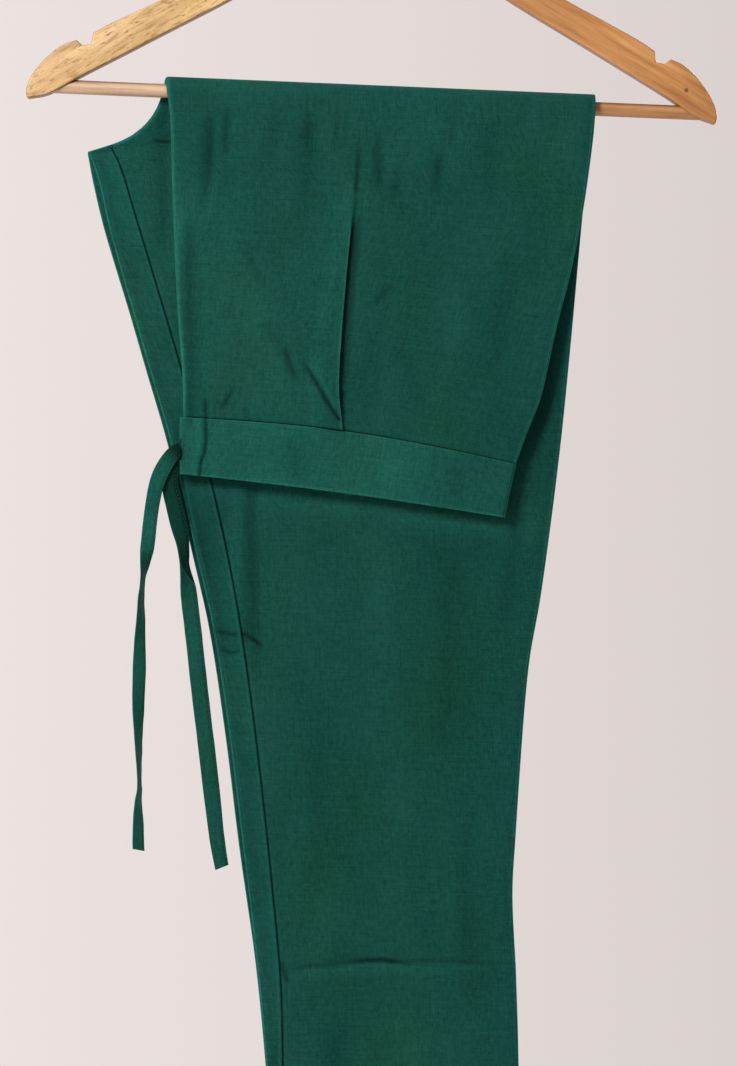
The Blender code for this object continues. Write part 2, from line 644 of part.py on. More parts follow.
def make_hook(paint, parent, collection):
    curve = bpy.data.curves.new("hanger_hook", "CURVE")
    curve.dimensions = "3D"
    curve.bevel_depth = HOOK_WIRE / 2 * MM
    curve.bevel_resolution = 2
    curve.use_fill_caps = True
    radius = HOOK_INNER_RADIUS + HOOK_WIRE / 2
    centre = -HOOK_INNER_RADIUS
    points = [(0.0, HOOK_STEM_FOOT), (0.0, HOOK_STEM_TOP)]
    start = (radius * math.cos(HOOK_START), centre + radius * math.sin(HOOK_START))
    lean = (-math.sin(HOOK_START), math.cos(HOOK_START))
    reach = HOOK_BEND_REACH
    for step in range(1, HOOK_BEND_STEPS):
        t = step / HOOK_BEND_STEPS
        knots = [(0.0, HOOK_STEM_TOP), (0.0, HOOK_STEM_TOP + reach)]
        knots += [(start[0] - lean[0] * reach, start[1] - lean[1] * reach), start]
        weights = [(1 - t) ** 3, 3 * t * (1 - t) ** 2, 3 * t**2 * (1 - t), t**3]
        points.append(tuple(sum(w * k[axis] for w, k in zip(weights, knots)) for axis in (0, 1)))
    for step in range(HOOK_STEPS + 1):
        angle = mix(HOOK_START, HOOK_END, step / HOOK_STEPS)
        points.append((radius * math.cos(angle), centre + radius * math.sin(angle)))
    line = curve.splines.new("POLY")
    line.points.add(len(points) - 1)
    for point, (x, z) in zip(line.points, points):
        point.co = (x * MM, 0.0, z * MM, 1.0)
    made = bpy.data.objects.new("hanger_hook", curve)
    collection.objects.link(made)
    made.data.materials.append(paint)
    made.parent = parent
    return made


def main():
    clear_scene()
    collection = bpy.data.collections.new("trousers_on_hanger")
    cutters = bpy.data.collections.new("cutters")
    for each in (collection, cutters):
        bpy.context.scene.collection.children.link(each)
    hanging = bpy.data.objects.new("hanging_point", None)
    hanging.rotation_euler = (0.0, HANGER_TILT, 0.0)
    collection.objects.link(hanging)

    cloth = material("green_cotton", GREEN_CLOTH, 0.85)
    tape = material("green_tape", GREEN_CLOTH, 0.8)
    rows, crotch = panel_rows()
    for name in LAYER_OF:
        make_panel(name, rows, crotch, cloth, hanging, collection)
    band = band_rows()
    for name in ("waistband_front", "waistband_back"):
        make_waistband(name, band, cloth, hanging, collection)
    make_tie("drawstring_left", TIE_LEFT, tape, hanging, collection)
    make_tie("drawstring_right", TIE_RIGHT, tape, hanging, collection)

    rod = cylinder(
        "hanger_rod", ROD_DIAMETER, 2 * ROD_HALF_LENGTH, (0, 0, -ROD_BELOW_HOOK), "X", ROD_SIDES, collection
    )
    rod.data.materials.append(material("pale_beech", WOOD_ROD, 0.55))
    rod.parent = hanging
    rod_bore = cylinder(
        "rod_bore", ROD_DIAMETER + 2 * GAP, 2 * (ROD_HALF_LENGTH + GAP), (0, 0, -ROD_BELOW_HOOK), "X", ROD_SIDES,
        cutters,
    )
    stem_middle = HOOK_STEM_FOOT - GAP + STEM_BORE_LENGTH / 2
    stem_bore = cylinder(
        "stem_bore", HOOK_WIRE + 2 * GAP, STEM_BORE_LENGTH, (0, 0, stem_middle), "Z", STEM_BORE_SIDES, cutters
    )
    for cutter in (rod_bore, stem_bore):
        cutter.hide_render = True
        cutter.display_type = "WIRE"
        cutter.parent = hanging
    make_arm("hanger_arm_left", -1, material("golden_wood", WOOD_LEFT, 0.5), hanging, collection, (rod_bore, stem_bore))
    make_arm("hanger_arm_right", 1, material("brown_wood", WOOD_RIGHT, 0.5), hanging, collection, (rod_bore, stem_bore))
    make_hook(material("steel", STEEL, 0.25, 1.0), hanging, collection)


main()
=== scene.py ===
# Trousers with a drawstring, folded in half and hung over the rod of a wooden hanger.
# Tables are in millimetres with the hanger level: x from its middle, down below the rod's axis, and out from
# the innermost layer of cloth. toWorld turns them into metres in the scene.
import math

import bpy
import numpy as np
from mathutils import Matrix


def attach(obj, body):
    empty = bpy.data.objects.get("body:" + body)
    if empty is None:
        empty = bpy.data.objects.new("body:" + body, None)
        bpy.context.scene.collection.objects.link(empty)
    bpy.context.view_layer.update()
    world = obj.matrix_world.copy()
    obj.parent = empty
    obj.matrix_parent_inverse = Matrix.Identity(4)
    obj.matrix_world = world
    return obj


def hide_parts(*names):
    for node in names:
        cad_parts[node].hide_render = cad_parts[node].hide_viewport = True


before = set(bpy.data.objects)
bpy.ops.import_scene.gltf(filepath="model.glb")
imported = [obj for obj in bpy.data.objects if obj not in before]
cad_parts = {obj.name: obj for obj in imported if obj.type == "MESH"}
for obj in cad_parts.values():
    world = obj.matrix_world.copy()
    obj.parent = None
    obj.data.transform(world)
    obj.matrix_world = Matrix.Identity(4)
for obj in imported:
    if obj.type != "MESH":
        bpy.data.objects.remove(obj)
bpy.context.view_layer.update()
print("frame loaded")

mm = 0.001
hanging = {"tilt": math.radians(2.4), "rodDown": 190.5}
cloth = {
    "thickness": 0.4, "layer": 1.3, "bar": 5.3, "seamTurn": 0.65, "foldTurn": 1.95, "gap": 0.3,
    "closes": 5.0, "closesOver": 85.0, "hemDown": 690.0, "hemStitch": 17.0,
}
hem = {"inside": 0.44, "below": 0.22, "turn": (0.8, 1.57, 2.3, math.pi), "up": (4.0, 9.0, 14.0, 18.0)}
layerOf = {"frontLeft": 0, "backLeft": 1, "backRight": 2, "frontRight": 3}


def toMode(mode):
    bpy.ops.object.mode_set(mode=mode)


def deselect():
    if bpy.context.object and bpy.context.object.mode != "OBJECT":
        toMode("OBJECT")
    bpy.ops.object.select_all(action="DESELECT")


def pick(piece):
    deselect()
    piece.select_set(True)
    bpy.context.view_layer.objects.active = piece


def applyAll(piece):
    pick(piece)
    for modifier in list(piece.modifiers):
        bpy.ops.object.modifier_apply(modifier=modifier.name)


def rounded(piece, width, segments, degrees):
    edge = piece.modifiers.new("rounded edges", "BEVEL")
    edge.width, edge.segments, edge.limit_method = width * mm, segments, "ANGLE"
    edge.angle_limit = math.radians(degrees)
    applyAll(piece)


def smoothed(piece, degrees):
    pick(piece)
    bpy.ops.object.shade_smooth_by_angle(angle=math.radians(degrees))


def faceOut(piece):
    pick(piece)
    toMode("EDIT")
    bpy.ops.mesh.select_all(action="SELECT")
    bpy.ops.mesh.normals_make_consistent(inside=False)
    toMode("OBJECT")


def deletePoints(piece, unwanted):
    pick(piece)
    toMode("EDIT")
    bpy.ops.mesh.select_all(action="DESELECT")
    toMode("OBJECT")
    piece.data.vertices.foreach_set("select", unwanted.ravel())
    toMode("EDIT")
    bpy.ops.mesh.delete(type="VERT")
    toMode("OBJECT")


def toWorld(points):
    x, y, z = np.moveaxis(np.asarray(points, float), -1, 0)
    turned = [x * math.cos(hanging["tilt"]) + z * math.sin(hanging["tilt"]), y,
              z * math.cos(hanging["tilt"]) - x * math.sin(hanging["tilt"])]
    return np.stack(turned, -1) * mm


def setPoints(piece, points):
    piece.data.vertices.foreach_set("co", np.asarray(points, np.float32).ravel())
    piece.data.update()


def smoothstep(t):
    t = np.clip(t, 0.0, 1.0)
    return t * t * (3 - 2 * t)


def bell(away, width):
    return np.exp(-((away / width) ** 2))


def unit(vectors):
    return vectors / np.maximum(np.linalg.norm(vectors, axis=-1, keepdims=True), 1e-9)


def runLength(points):  # along each row of points, from 0
    steps = np.linalg.norm(np.diff(points, axis=-2), axis=-1)
    return np.concatenate([np.zeros((*steps.shape[:-1], 1)), np.cumsum(steps, -1)], -1)


def hermite(t, a, b, leave, arrive):
    return ((2 * t**3 - 3 * t**2 + 1) * a + (t**3 - 2 * t**2 + t) * leave
            + (-2 * t**3 + 3 * t**2) * b + (t**3 - t**2) * arrive)


def through(table, at):  # one smooth curve through a table's rows
    places, values = np.array(table, float).T
    slopes = np.gradient(values) / np.gradient(places)
    at = np.clip(np.asarray(at, float), places[0], places[-1])
    i = np.clip(np.searchsorted(places, at, side="right") - 1, 0, len(places) - 2)
    span = places[i + 1] - places[i]
    return hermite((at - places[i]) / span, values[i], values[i + 1], span * slopes[i], span * slopes[i + 1])


def softNoise(x, y, cellX, cellY, seed):  # from -1 to 1, the same each run
    lattice = np.random.default_rng(seed).uniform(-1, 1, (64, 64))
    u, v = np.asarray(x) / cellX + 31.3, np.asarray(y) / cellY + 17.7
    i, j = np.floor(u).astype(int), np.floor(v).astype(int)
    a, b = smoothstep(u - i), smoothstep(v - j)
    at = lambda p, q: lattice[p % 64, q % 64]
    above, below = (at(i, k) * (1 - a) + at(i + 1, k) * a for k in (j, j + 1))
    return above * (1 - b) + below * b


# The camera comes first, as the photograph was taken.
photo = {"centre": (-0.0100, -0.4703), "height": 0.6886, "distance": 2.5, "sensor": 36.0}
bpy.ops.object.camera_add(
    location=(photo["centre"][0], -photo["distance"], photo["centre"][1]), rotation=(math.pi / 2, 0, 0)
)
camera = bpy.context.object
camera.name = "photoCamera"
camera.data.sensor_width = photo["sensor"]
camera.data.lens = photo["sensor"] * photo["distance"] / photo["height"]
bpy.context.scene.camera = camera


# Materials
def newMaterial(name, roughness, metallic=0.0):
    made = bpy.data.materials.new(name)
    made.use_nodes = True
    shader = made.node_tree.nodes["Principled BSDF"]
    shader.inputs["Roughness"].default_value = roughness
    shader.inputs["Metallic"].default_value = metallic
    return made, shader


def fill(made, socket, value):
    if isinstance(value, bpy.types.NodeSocket):
        made.node_tree.links.new(value, socket)
    else:
        socket.default_value = value


def add(made, kind, settings=(), **inputs):
    node = made.node_tree.nodes.new(kind)
    for key, value in dict(settings).items():
        setattr(node, key, value)
    for key, value in inputs.items():
        fill(made, node.inputs[int(key[1:])] if key[0] == "_" else node.inputs[key], value)
    return node


def reckon(made, operation, a, b=0.0, c=0.0):
    return add(made, "ShaderNodeMath", {"operation": operation}, _0=a, _1=b, _2=c).outputs[0]


def rising(made, value, start, end):  # from 0 to 1
    return add(made, "ShaderNodeMapRange", Value=value, _1=start, _2=end).outputs[0]


def noise(made, vector, scale, detail=3.0, roughness=0.55, turn=(0, 0, 0)):
    stretched = add(made, "ShaderNodeMapping", Vector=vector, Scale=scale, Rotation=turn).outputs[0]
    node = add(made, "ShaderNodeTexNoise", Vector=stretched, Scale=1.0, Detail=detail, Roughness=roughness)
    return node.outputs[0]


def ramp(made, fac, *stops):
    node = add(made, "ShaderNodeValToRGB", Fac=fac)
    elements = node.color_ramp.elements
    while len(elements) < len(stops):
        elements.new(0.5)
    for element, (place, colour) in zip(elements, stops):
        element.position = place
        element.color = (*colour, 1.0)
    return node.outputs["Color"]


def mixed(made, fac, a, b, how="MIX"):
    node = add(made, "ShaderNodeMix", {"data_type": "RGBA", "blend_type": how})
    for key, value in (("Factor", fac), ("A", a), ("B", b)):
        socket = next(s for s in node.inputs if s.name == key and s.enabled)
        fill(made, socket, (*value, 1.0) if isinstance(value, tuple) else value)
    return next(s for s in node.outputs if s.enabled)


def tinted(made, fac, colour, tint):
    return mixed(made, fac, colour, mixed(made, 1.0, colour, tint, "MULTIPLY"))


def bump(made, shader, height, strength, distance):
    node = add(made, "ShaderNodeBump", Height=height, Strength=strength, Distance=distance * mm)
    fill(made, shader.inputs["Normal"], node.outputs[0])


cotton = {
    "warp": 0.55, "weft": 0.55, "roughness": 0.86, "tones": (1.19, 1.96), "bump": (0.8, 0.35),
    # each noise: its repeats across and along in a metre, its detail, its roughness and its share of the tone
    "noises": {
        "grain": ((900, 900, 1), 2.0, 0.55, 0.35), "patches": ((22, 12, 1), 4.0, 0.55, 0.55),
        "weftSlubs": ((38, 1200, 1), 2.0, 0.55, 0.65), "warpSlubs": ((1300, 45, 1), 2.0, 0.55, 0.55),
        "speckle": ((420, 260, 1), 3.0, 0.7, 1.05), "ripple": ((160, 90, 1), 3.0, 0.55, 0.0),
    },
    "heights": {"warpSlubs": 1.0, "weftSlubs": 1.0, "ripple": 1.6, "speckle": 1.2}, "weaveHeight": 0.35,
    "hue": ((16, 9, 1), (0.35, (0.88, 1.0, 1.08)), (0.65, (1.06, 1.0, 0.93))),
    "shadeAndToneBy": 0.75, "darkest": 0.12, "lightest": 1.8,
    "shader": {"Sheen Weight": 0.08, "Sheen Roughness": 0.45, "Sheen Tint": (0.10, 0.60, 0.45, 1.0),
               "Specular IOR Level": 0.12, "Specular Tint": (0.35, 0.9, 0.8, 1.0)},
}
cottonTones = {
    "greenCottonWeave": ((0.0030, 0.0350, 0.0235), (0.0100, 0.0800, 0.0610)),
    "greenTapeWeave": ((0.0032, 0.0380, 0.0250), (0.0104, 0.0840, 0.0610)),
    "greenThread": ((0.0080, 0.0700, 0.0500), (0.0200, 0.1300, 0.1000)),
}


def makeCotton(name):  # plain weave with slubs, on the cloth's own map in metres
    made, shader = newMaterial(name, cotton["roughness"])
    onCloth = add(made, "ShaderNodeUVMap", {"uv_map": "cloth"}).outputs[0]
    tone, noises = 0.0, {}
    for key, (scale, detail, roughness, share) in cotton["noises"].items():
        noises[key] = noise(made, onCloth, scale, detail, roughness)
        if share:
            tone = reckon(made, "MULTIPLY_ADD", noises[key], share, tone)
    deep, light = cottonTones[name]
    colour = ramp(made, rising(made, tone, *cotton["tones"]), (0.0, deep), (1.0, light))
    scale, *hues = cotton["hue"]
    colour = mixed(made, 1.0, colour, ramp(made, noise(made, onCloth, scale, 2.0), *hues), "MULTIPLY")
    # Painted light and shade, with some random tone: the cloth's attribute lightens or darkens its colour
    # here.
    shadeAndTone = add(made, "ShaderNodeAttribute", {"attribute_name": "shadeAndTone"}).outputs["Fac"]
    shade = reckon(made, "MULTIPLY_ADD", shadeAndTone, cotton["shadeAndToneBy"], 1.0)
    shade = reckon(made, "MINIMUM", reckon(made, "MAXIMUM", shade, cotton["darkest"]), cotton["lightest"])
    colour = add(made, "ShaderNodeVectorMath", {"operation": "SCALE"}, _0=colour, Scale=shade).outputs[0]
    fill(made, shader.inputs["Base Color"], colour)
    places = add(made, "ShaderNodeSeparateXYZ", _0=onCloth).outputs
    height = cotton["weaveHeight"]
    for place, key in zip(places, ("warp", "weft")):
        turns = reckon(made, "MULTIPLY", place, 2 * math.pi / (cotton[key] * mm))
        height = reckon(made, "MULTIPLY", height, reckon(made, "SINE", turns))
    for key, share in cotton["heights"].items():
        height = reckon(made, "MULTIPLY_ADD", noises[key], share, height)
    bump(made, shader, height, *cotton["bump"])
    for key, value in cotton["shader"].items():
        shader.inputs[key].default_value = value
    return made


def makeWood(name, grainTurn):  # lacquered wood with long grain, short dark flecks and wisps
    settings = woods[name]
    made, shader = newMaterial(name, settings["roughness"])
    onPiece = add(made, "ShaderNodeTexCoord").outputs["Object"]
    turned = add(made, "ShaderNodeMapping", Vector=onPiece, Rotation=(0, grainTurn, 0)).outputs[0]
    grain, broad, flecks, wisps = (noise(made, turned, *woodGrain[key])
                                   for key in ("grain", "broad", "flecks", "wisps"))
    black, white = (0, 0, 0), (1, 1, 1)
    colour = ramp(made, grain, (0.32, settings["dark"]), (0.5, settings["middle"]), (0.7, settings["light"]))
    shade = ramp(made, broad, (0.3, (0.86, 0.84, 0.80)), (0.7, (1.08, 1.08, 1.08)))
    colour = mixed(made, 1.0, colour, shade, "MULTIPLY")
    spots = ramp(made, flecks, (settings["fleckFrom"], black), (settings["fleckFrom"] + 0.07, white))
    colour = mixed(made, spots, colour, settings["fleck"])
    wisps = ramp(made, wisps, (settings["wispFrom"], black), (settings["wispFrom"] + 0.1, white))
    colour = mixed(made, reckon(made, "MULTIPLY", wisps, settings["wisps"]), colour, settings["fleck"])
    if settings["edge"]:  # painted shade: darker and browner on the narrow sides and rounded edges
        normal = add(made, "ShaderNodeNewGeometry").outputs["Normal"]
        facing = reckon(made, "ABSOLUTE", add(made, "ShaderNodeSeparateXYZ", _0=normal).outputs[1])
        colour = tinted(made, rising(made, facing, 0.95, 0.5), colour, settings["edge"])
    if settings["farEndShade"]:  # painted shade: darker and browner from its left end to its right, and a painted shade line along its top
        place = add(made, "ShaderNodeSeparateXYZ", _0=turned).outputs
        colour = tinted(made, rising(made, place[0], -0.05, 0.17), colour, settings["farEndShade"])
        top = rising(made, place[2], settings["top"], settings["top"] + 0.0012)
        colour = tinted(made, top, colour, woodGrain["topShadeTint"])
    fill(made, shader.inputs["Base Color"], colour)
    height = reckon(made, "SUBTRACT", grain, reckon(made, "MULTIPLY", spots, woodGrain["fleckDepth"]))
    bump(made, shader, height, *woodGrain["bump"])
    shader.inputs["Coat Weight"].default_value = settings["coat"]
    shader.inputs["Coat Roughness"].default_value = woodGrain["coatRoughness"]
    return made


def makeSpeckled(name, roughness, metallic, scale, dark, light):
    made, shader = newMaterial(name, roughness, metallic)
    onPiece = add(made, "ShaderNodeTexCoord").outputs["Object"]
    colour = ramp(made, noise(made, onPiece, scale), (0.3, dark), (0.7, light))
    fill(made, shader.inputs["Base Color"], colour)
    return made


woodGrain = {  # each noise: its repeats in a metre, its detail, its roughness and its turn
    "grain": ((18, 260, 300), 6.0, 0.6), "broad": ((9, 40, 60),), "flecks": ((150, 500, 620), 2.0, 0.5),
    "wisps": ((70, 330, 420), 4.0, 0.75, (0, 0.25, 0)),
    "coatRoughness": 0.28, "fleckDepth": 0.6, "bump": (0.3, 0.3), "topShadeTint": (0.55, 0.50, 0.46),
}
woods = {
    "goldenArmWood": {
        "dark": (0.34, 0.190, 0.066), "middle": (0.470, 0.293, 0.116), "light": (0.57, 0.385, 0.172),
        "fleck": (0.22, 0.100, 0.030), "fleckFrom": 0.615, "coat": 0.12, "roughness": 0.52,
        "wisps": 0.65, "wispFrom": 0.515, "edge": (0.55, 0.48, 0.42), "farEndShade": None,
    },
    "brownArmWood": {
        "dark": (0.31, 0.120, 0.031), "middle": (0.415, 0.183, 0.052), "light": (0.51, 0.250, 0.084),
        "fleck": (0.26, 0.088, 0.020), "fleckFrom": 0.69, "coat": 0.2, "roughness": 0.48,
        "wisps": 0.45, "wispFrom": 0.58, "edge": (0.72, 0.62, 0.55), "farEndShade": None,
    },
    "paleRodBeech": {
        "dark": (0.30, 0.185, 0.110), "middle": (0.42, 0.275, 0.170), "light": (0.50, 0.355, 0.235),
        "fleck": (0.26, 0.13, 0.065), "fleckFrom": 0.72, "coat": 0.1, "roughness": 0.6,
        "wisps": 0.25, "wispFrom": 0.64, "edge": None, "farEndShade": (0.98, 0.70, 0.42), "top": -0.1880,
    },
}
armTurn = math.radians(31)
greenCotton, greenTape, greenThread = (makeCotton(name) for name in cottonTones)
goldenWood = makeWood("goldenArmWood", armTurn)
brownWood = makeWood("brownArmWood", -armTurn)
paleBeech = makeWood("paleRodBeech", -hanging["tilt"])
brushedSteel = makeSpeckled("brushedSteel", 0.34, 1, (900, 900, 120), (0.50, 0.50, 0.51), (0.66, 0.66, 0.67))
darkPeg = makeSpeckled("darkPegWood", 0.6, 0, (1500, 1500, 1500), (0.10, 0.035, 0.012), (0.22, 0.09, 0.03))
print("materials made")


def dress(piece, material, replaced=None):
    piece.data.materials.clear()
    piece.data.materials.append(material)
    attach(piece, "root")
    if replaced:
        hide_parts(replaced)


def clothPiece(name, points, u, v, shadeAndTone):  # a grid of points, the cloth's map on it, and its painted light and shade with some random tone
    deselect()
    rows, columns = points.shape[:2]
    bpy.ops.mesh.primitive_grid_add(x_subdivisions=columns - 1, y_subdivisions=rows - 1, size=1)
    piece = bpy.context.object
    piece.name = piece.data.name = name
    piece.data.uv_layers[0].name = "cloth"
    setPoints(piece, toWorld(points.reshape(-1, 3)))
    corners = np.empty(len(piece.data.loops), int)
    piece.data.loops.foreach_get("vertex_index", corners)
    both = np.stack([np.broadcast_to(k, (rows, columns)).ravel() for k in (u, v)], -1)[corners] * mm
    piece.data.uv_layers["cloth"].data.foreach_set("uv", both.astype(np.float32).ravel())
    # The attribute holds painted light and shade, with some random tone.
    lightAndShade = piece.data.attributes.new("shadeAndTone", "FLOAT", "POINT")
    lightAndShade.data.foreach_set("value", shadeAndTone.astype(np.float32).ravel())
    return piece


def thicken(piece, thickness, edgeRound=0.0):
    solid = piece.modifiers.new("wall", "SOLIDIFY")
    solid.thickness, solid.offset, solid.use_even_offset = thickness * mm, 0.0, False
    if edgeRound:
        rounded(piece, edgeRound, 2, 60)
    else:
        applyAll(piece)
    faceOut(piece)
    smoothed(piece, 50)


# The two flat ties. A route's points are down, x, out in front of the rod's axis, width and degrees of twist.
# A shade is painted light and shade: how much lighter the tie is painted at some lengths, darker where it
# lies in shade or turns from the light, and a flip is where it turns its other side out.
ties = {
    "tieLeft": {
        "node": "drawstring_left", "width": 8.8, "seamShare": 0.86, "seed": 3, "endSlant": 2, "flip": None,
        "shade": ([0, 4, 8, 14, 24, 60, 74, 86, 100, 120, 150, 200, 222, 232, 280],
                  [-1.2, -1, -0.4, 0.05, 0.25, 0.42, 0.15, -0.4, -0.2, 0.05, 0.2, 0.05, -0.35, 0.45, 0.45]),
        "route": [
            (230.4, -113.4, 2.9, 7.6, 0), (231.6, -115.6, 2.95, 8.6, 0), (235, -119.2, 3.1, 9.4, 0),
            (241.5, -123.3, 3.2, 9.8, 0), (248.9, -126.7, 3.2, 9.8, 0), (257.3, -128.9, 3.2, 9.4, 0),
            (269.5, -130.6, 3.2, 9.2, 5), (280, -131.5, 3.2, 9.2, 0), (290.3, -132.1, 3.2, 9.2, 8),
            (296.5, -132.6, 3.2, 9.2, 18), (302, -133.2, 3.2, 9, 38), (307.5, -133.7, 3.2, 9, 58),
            (314, -134.4, 3.2, 8.8, 72), (321.4, -134.8, 3.2, 8.8, 74), (327, -135.1, 3.2, 8.8, 68),
            (334, -135, 3.2, 8.8, 64), (343, -134.8, 3.2, 8.8, 54), (353, -134.8, 3.2, 8.8, 43),
            (364, -134.6, 3.2, 8.8, 28), (376, -134.3, 3.2, 8.8, 16), (388, -134.2, 3.2, 8.8, 22),
            (398, -133.9, 3.2, 8.8, 34), (408, -133.6, 3.2, 8.8, 48), (418, -133.1, 3.2, 8.8, 60),
            (428, -132.4, 3.2, 8.8, 68), (437, -131.8, 3.2, 8.8, 76), (446, -131.3, 3.2, 8.8, 79),
            (452, -131, 3.2, 8.8, 74), (458, -131.4, 3.2, 8.8, 66), (465, -131.3, 3.2, 8.8, 56),
            (472, -130.9, 3.2, 8.8, 46), (481.6, -130.6, 3.2, 8.8, 40), (490.4, -129.9, 3.2, 8.8, 34),
        ],
    },
    "tieRight": {
        "node": "drawstring_right", "width": 10.4, "seamShare": 0.84, "seed": 5, "endSlant": -1.8,
        "flip": {"at": 83, "slant": 15},
        "shade": ([0, 10, 40, 70, 82, 83.5, 92, 120, 290],
                  [-1.2, -0.9, -0.6, -0.55, -0.8, 0.2, 0.05, 0, 0]),
        "route": [
            (230.8, -113.4, 1.6, 7.6, 0), (232.4, -116, 1.6, 8.6, 0), (238.5, -118.8, 1.2, 9.6, 0),
            (246.5, -120.2, 0.8, 10.2, 0), (256.7, -119.4, 0.4, 10.4, 0), (267, -116.5, 0.2, 10.8, 0),
            (276.5, -113.9, 0.2, 10.7, 8), (284.2, -111.7, 0.2, 10.6, 26), (289.3, -110.3, 0.2, 10.6, 38),
            (294.5, -109.4, 0.2, 10.6, 50), (299.6, -108.7, 0.2, 10.6, 56), (304.8, -108.2, 0.2, 10.6, 60),
            (309.9, -107.3, 0.2, 10.6, 55), (315, -106.2, 0.2, 10.6, 42), (320.2, -105.2, 0.2, 10.6, 24),
            (326, -104.3, 0.2, 10.7, 10), (333, -103.2, 0.2, 10.8, 0), (344.5, -101.3, 0.2, 10.8, 0),
            (356, -99.5, 0.2, 10.8, 0), (380, -95.9, 0.2, 10.8, 0), (402, -92.4, 0.2, 10.8, 0),
            (422, -89.1, 0.2, 10.8, 0), (443, -85.8, 0.2, 10.7, 0), (462, -82.8, 0.2, 10.4, 0),
            (478, -80.3, 0.2, 9.9, 0), (490, -78, 0.2, 9.5, 0), (499.6, -75.8, 0.2, 9, 0),
        ],
    },
}
ribbon = {
    "rings": 240, "columns": 15, "thickness": 0.85, "edgeRound": 0.3, "puff": 0.18, "groove": 0.22,
    "grooveWidth": 0.06, "rumple": 0.15, "edgeWave": 0.25, "endSlantOver": 8.0, "rimLight": 0.30,
    "seamShade": 0.5, "besideSeamShade": 0.22, "wave": 0.08, "waveLength": 9.0, "flipLight": 0.8, "flipWide": 0.9,
    "pathStep": 6,
}


def makeTie(name, settings):
    route = np.array(settings["route"], float)
    places = np.arange(len(route))
    at = np.linspace(0, len(route) - 1, ribbon["rings"])
    down, x, out, width, twist = (through(np.stack([places, route[:, k]], 1), at)[:, None] for k in range(5))
    twist = np.radians(twist)
    middle = np.concatenate([x, -out, -hanging["rodDown"] - down], 1)
    ahead = np.gradient(middle, axis=0)
    across = unit(np.stack([-ahead[:, 2], np.zeros(len(at)), ahead[:, 0]], 1))
    across = across * np.cos(twist) + np.array([0, 1.0, 0]) * np.sin(twist)
    ahead = unit(ahead)
    facing = np.cross(ahead, across)
    share = np.linspace(0, 1, ribbon["columns"])
    length = runLength(middle)[:, None]
    seed, flip, fromSeam = settings["seed"], settings["flip"], share - settings["seamShare"]
    lift = ribbon["puff"] * np.sin(np.pi * share) - ribbon["groove"] * bell(fromSeam, ribbon["grooveWidth"])
    lift = lift + ribbon["rumple"] * softNoise(length, share * 10, 6.0, 7.0, seed)
    offset = (share - 0.5) * (width + ribbon["edgeWave"] * softNoise(length, 0 * length, 9.0, 5.0, seed + 1))
    toEnd = (length - length[-1]) / ribbon["endSlantOver"]
    slant = settings["endSlant"] * (share - 0.5) * smoothstep(toEnd + 1)
    points = middle[:, None] + sum(way[:, None] * far[..., None] for way, far in
                                   ((across, offset), (facing, lift), (ahead, slant)))
    along = length - (flip["slant"] * (share - 0.4) if flip else 0 * share)
    rim = np.minimum(share, 1 - share)
    # Painted light and shade: lighter rims, a darker seam and side beyond it, a painted highlight at the
    # flip, and a slow wave of tone.
    shadeAndTone = np.interp(along, *settings["shade"]) + ribbon["rimLight"] * bell(rim, 0.05)
    shadeAndTone = shadeAndTone - ribbon["seamShade"] * bell(fromSeam, 0.05) - ribbon["besideSeamShade"] * (fromSeam > 0)
    shadeAndTone = shadeAndTone + ribbon["wave"] * np.sin(length / ribbon["waveLength"])
    if flip:
        shadeAndTone += ribbon["flipLight"] * bell(along - flip["at"] - ribbon["flipWide"], ribbon["flipWide"])
    piece = clothPiece(name, points, offset, length, shadeAndTone)
    thicken(piece, ribbon["thickness"], ribbon["edgeRound"])
    dress(piece, greenTape, settings["node"])
    path = [*middle[::ribbon["pathStep"]]] + ([middle[-1]] if (len(middle) - 1) % ribbon["pathStep"] else [])
    path = [tuple(p) for p in toWorld(path)]
    print(name, "length %.0f mm" % length[-1, 0])
    return points, facing


madeTies = {name: makeTie(name, settings) for name, settings in ties.items()}

# The cloth's outlines, as the part's source has them: down and x.
outline = {
    "centreFront": [
        (0, -132), (18, -129), (60, -126.1), (102, -122.9), (144, -119), (185, -114.2), (210, -112.7),
    ],
    "dropSide": [
        (0, 144.2), (20, 143.4), (65, 139.2), (103, 133.5), (143, 125.2), (189, 116.8), (210, 109.5),
        (231, 102.8),
    ],
    "legSide": [
        (0, 143.4), (26, 142.3), (64, 139.6), (149, 135.4), (210, 131.9), (261, 127.9), (318, 122.4),
        (356, 117.3), (395, 115), (472, 112.9), (510, 112.5), (562, 117), (619, 121), (690, 124.5),
    ],
    "legFold": [
        (41, -182.4), (60, -178), (90, -169.6), (145, -150.5), (183, -137.7), (229, -122.3), (297, -103.9),
        (346, -90.7), (413, -77.6), (489, -64.9), (560, -51.8), (626, -42.5), (690, -35.6),
    ],
    "inseam": [
        (36, -168), (50, -160.4), (78, -150.6), (133, -131.4), (183, -114.4), (256, -91.9), (326, -74.2),
        (412, -58.1), (507, -43.6), (574, -34.8), (626, -31.3), (690, -27.5),
    ],
    "crotch": [
        (0, -135.2), (10, -138.6), (19, -143.9), (27, -151.6), (32, -159.5), (36, -168.4), (40.6, -182),
    ],
    "leftLegInset": [
        (36, 0), (41, 1), (60, 4), (90, 3.6), (149, 2.6), (490, 2.6), (560, 1), (690, 0.5),
    ],
}
crotchDown, tipDown = 36.0, 40.6
waistSeam = {"leftDown": 209.9, "leftX": -114.8, "rightDown": 231.0, "rightX": 102.8, "bow": 5.5}
bandEdge = {"leftDown": 247.0, "leftX": -113.2, "rightDown": 266.2, "rightX": 96.9, "bow": 1.7}
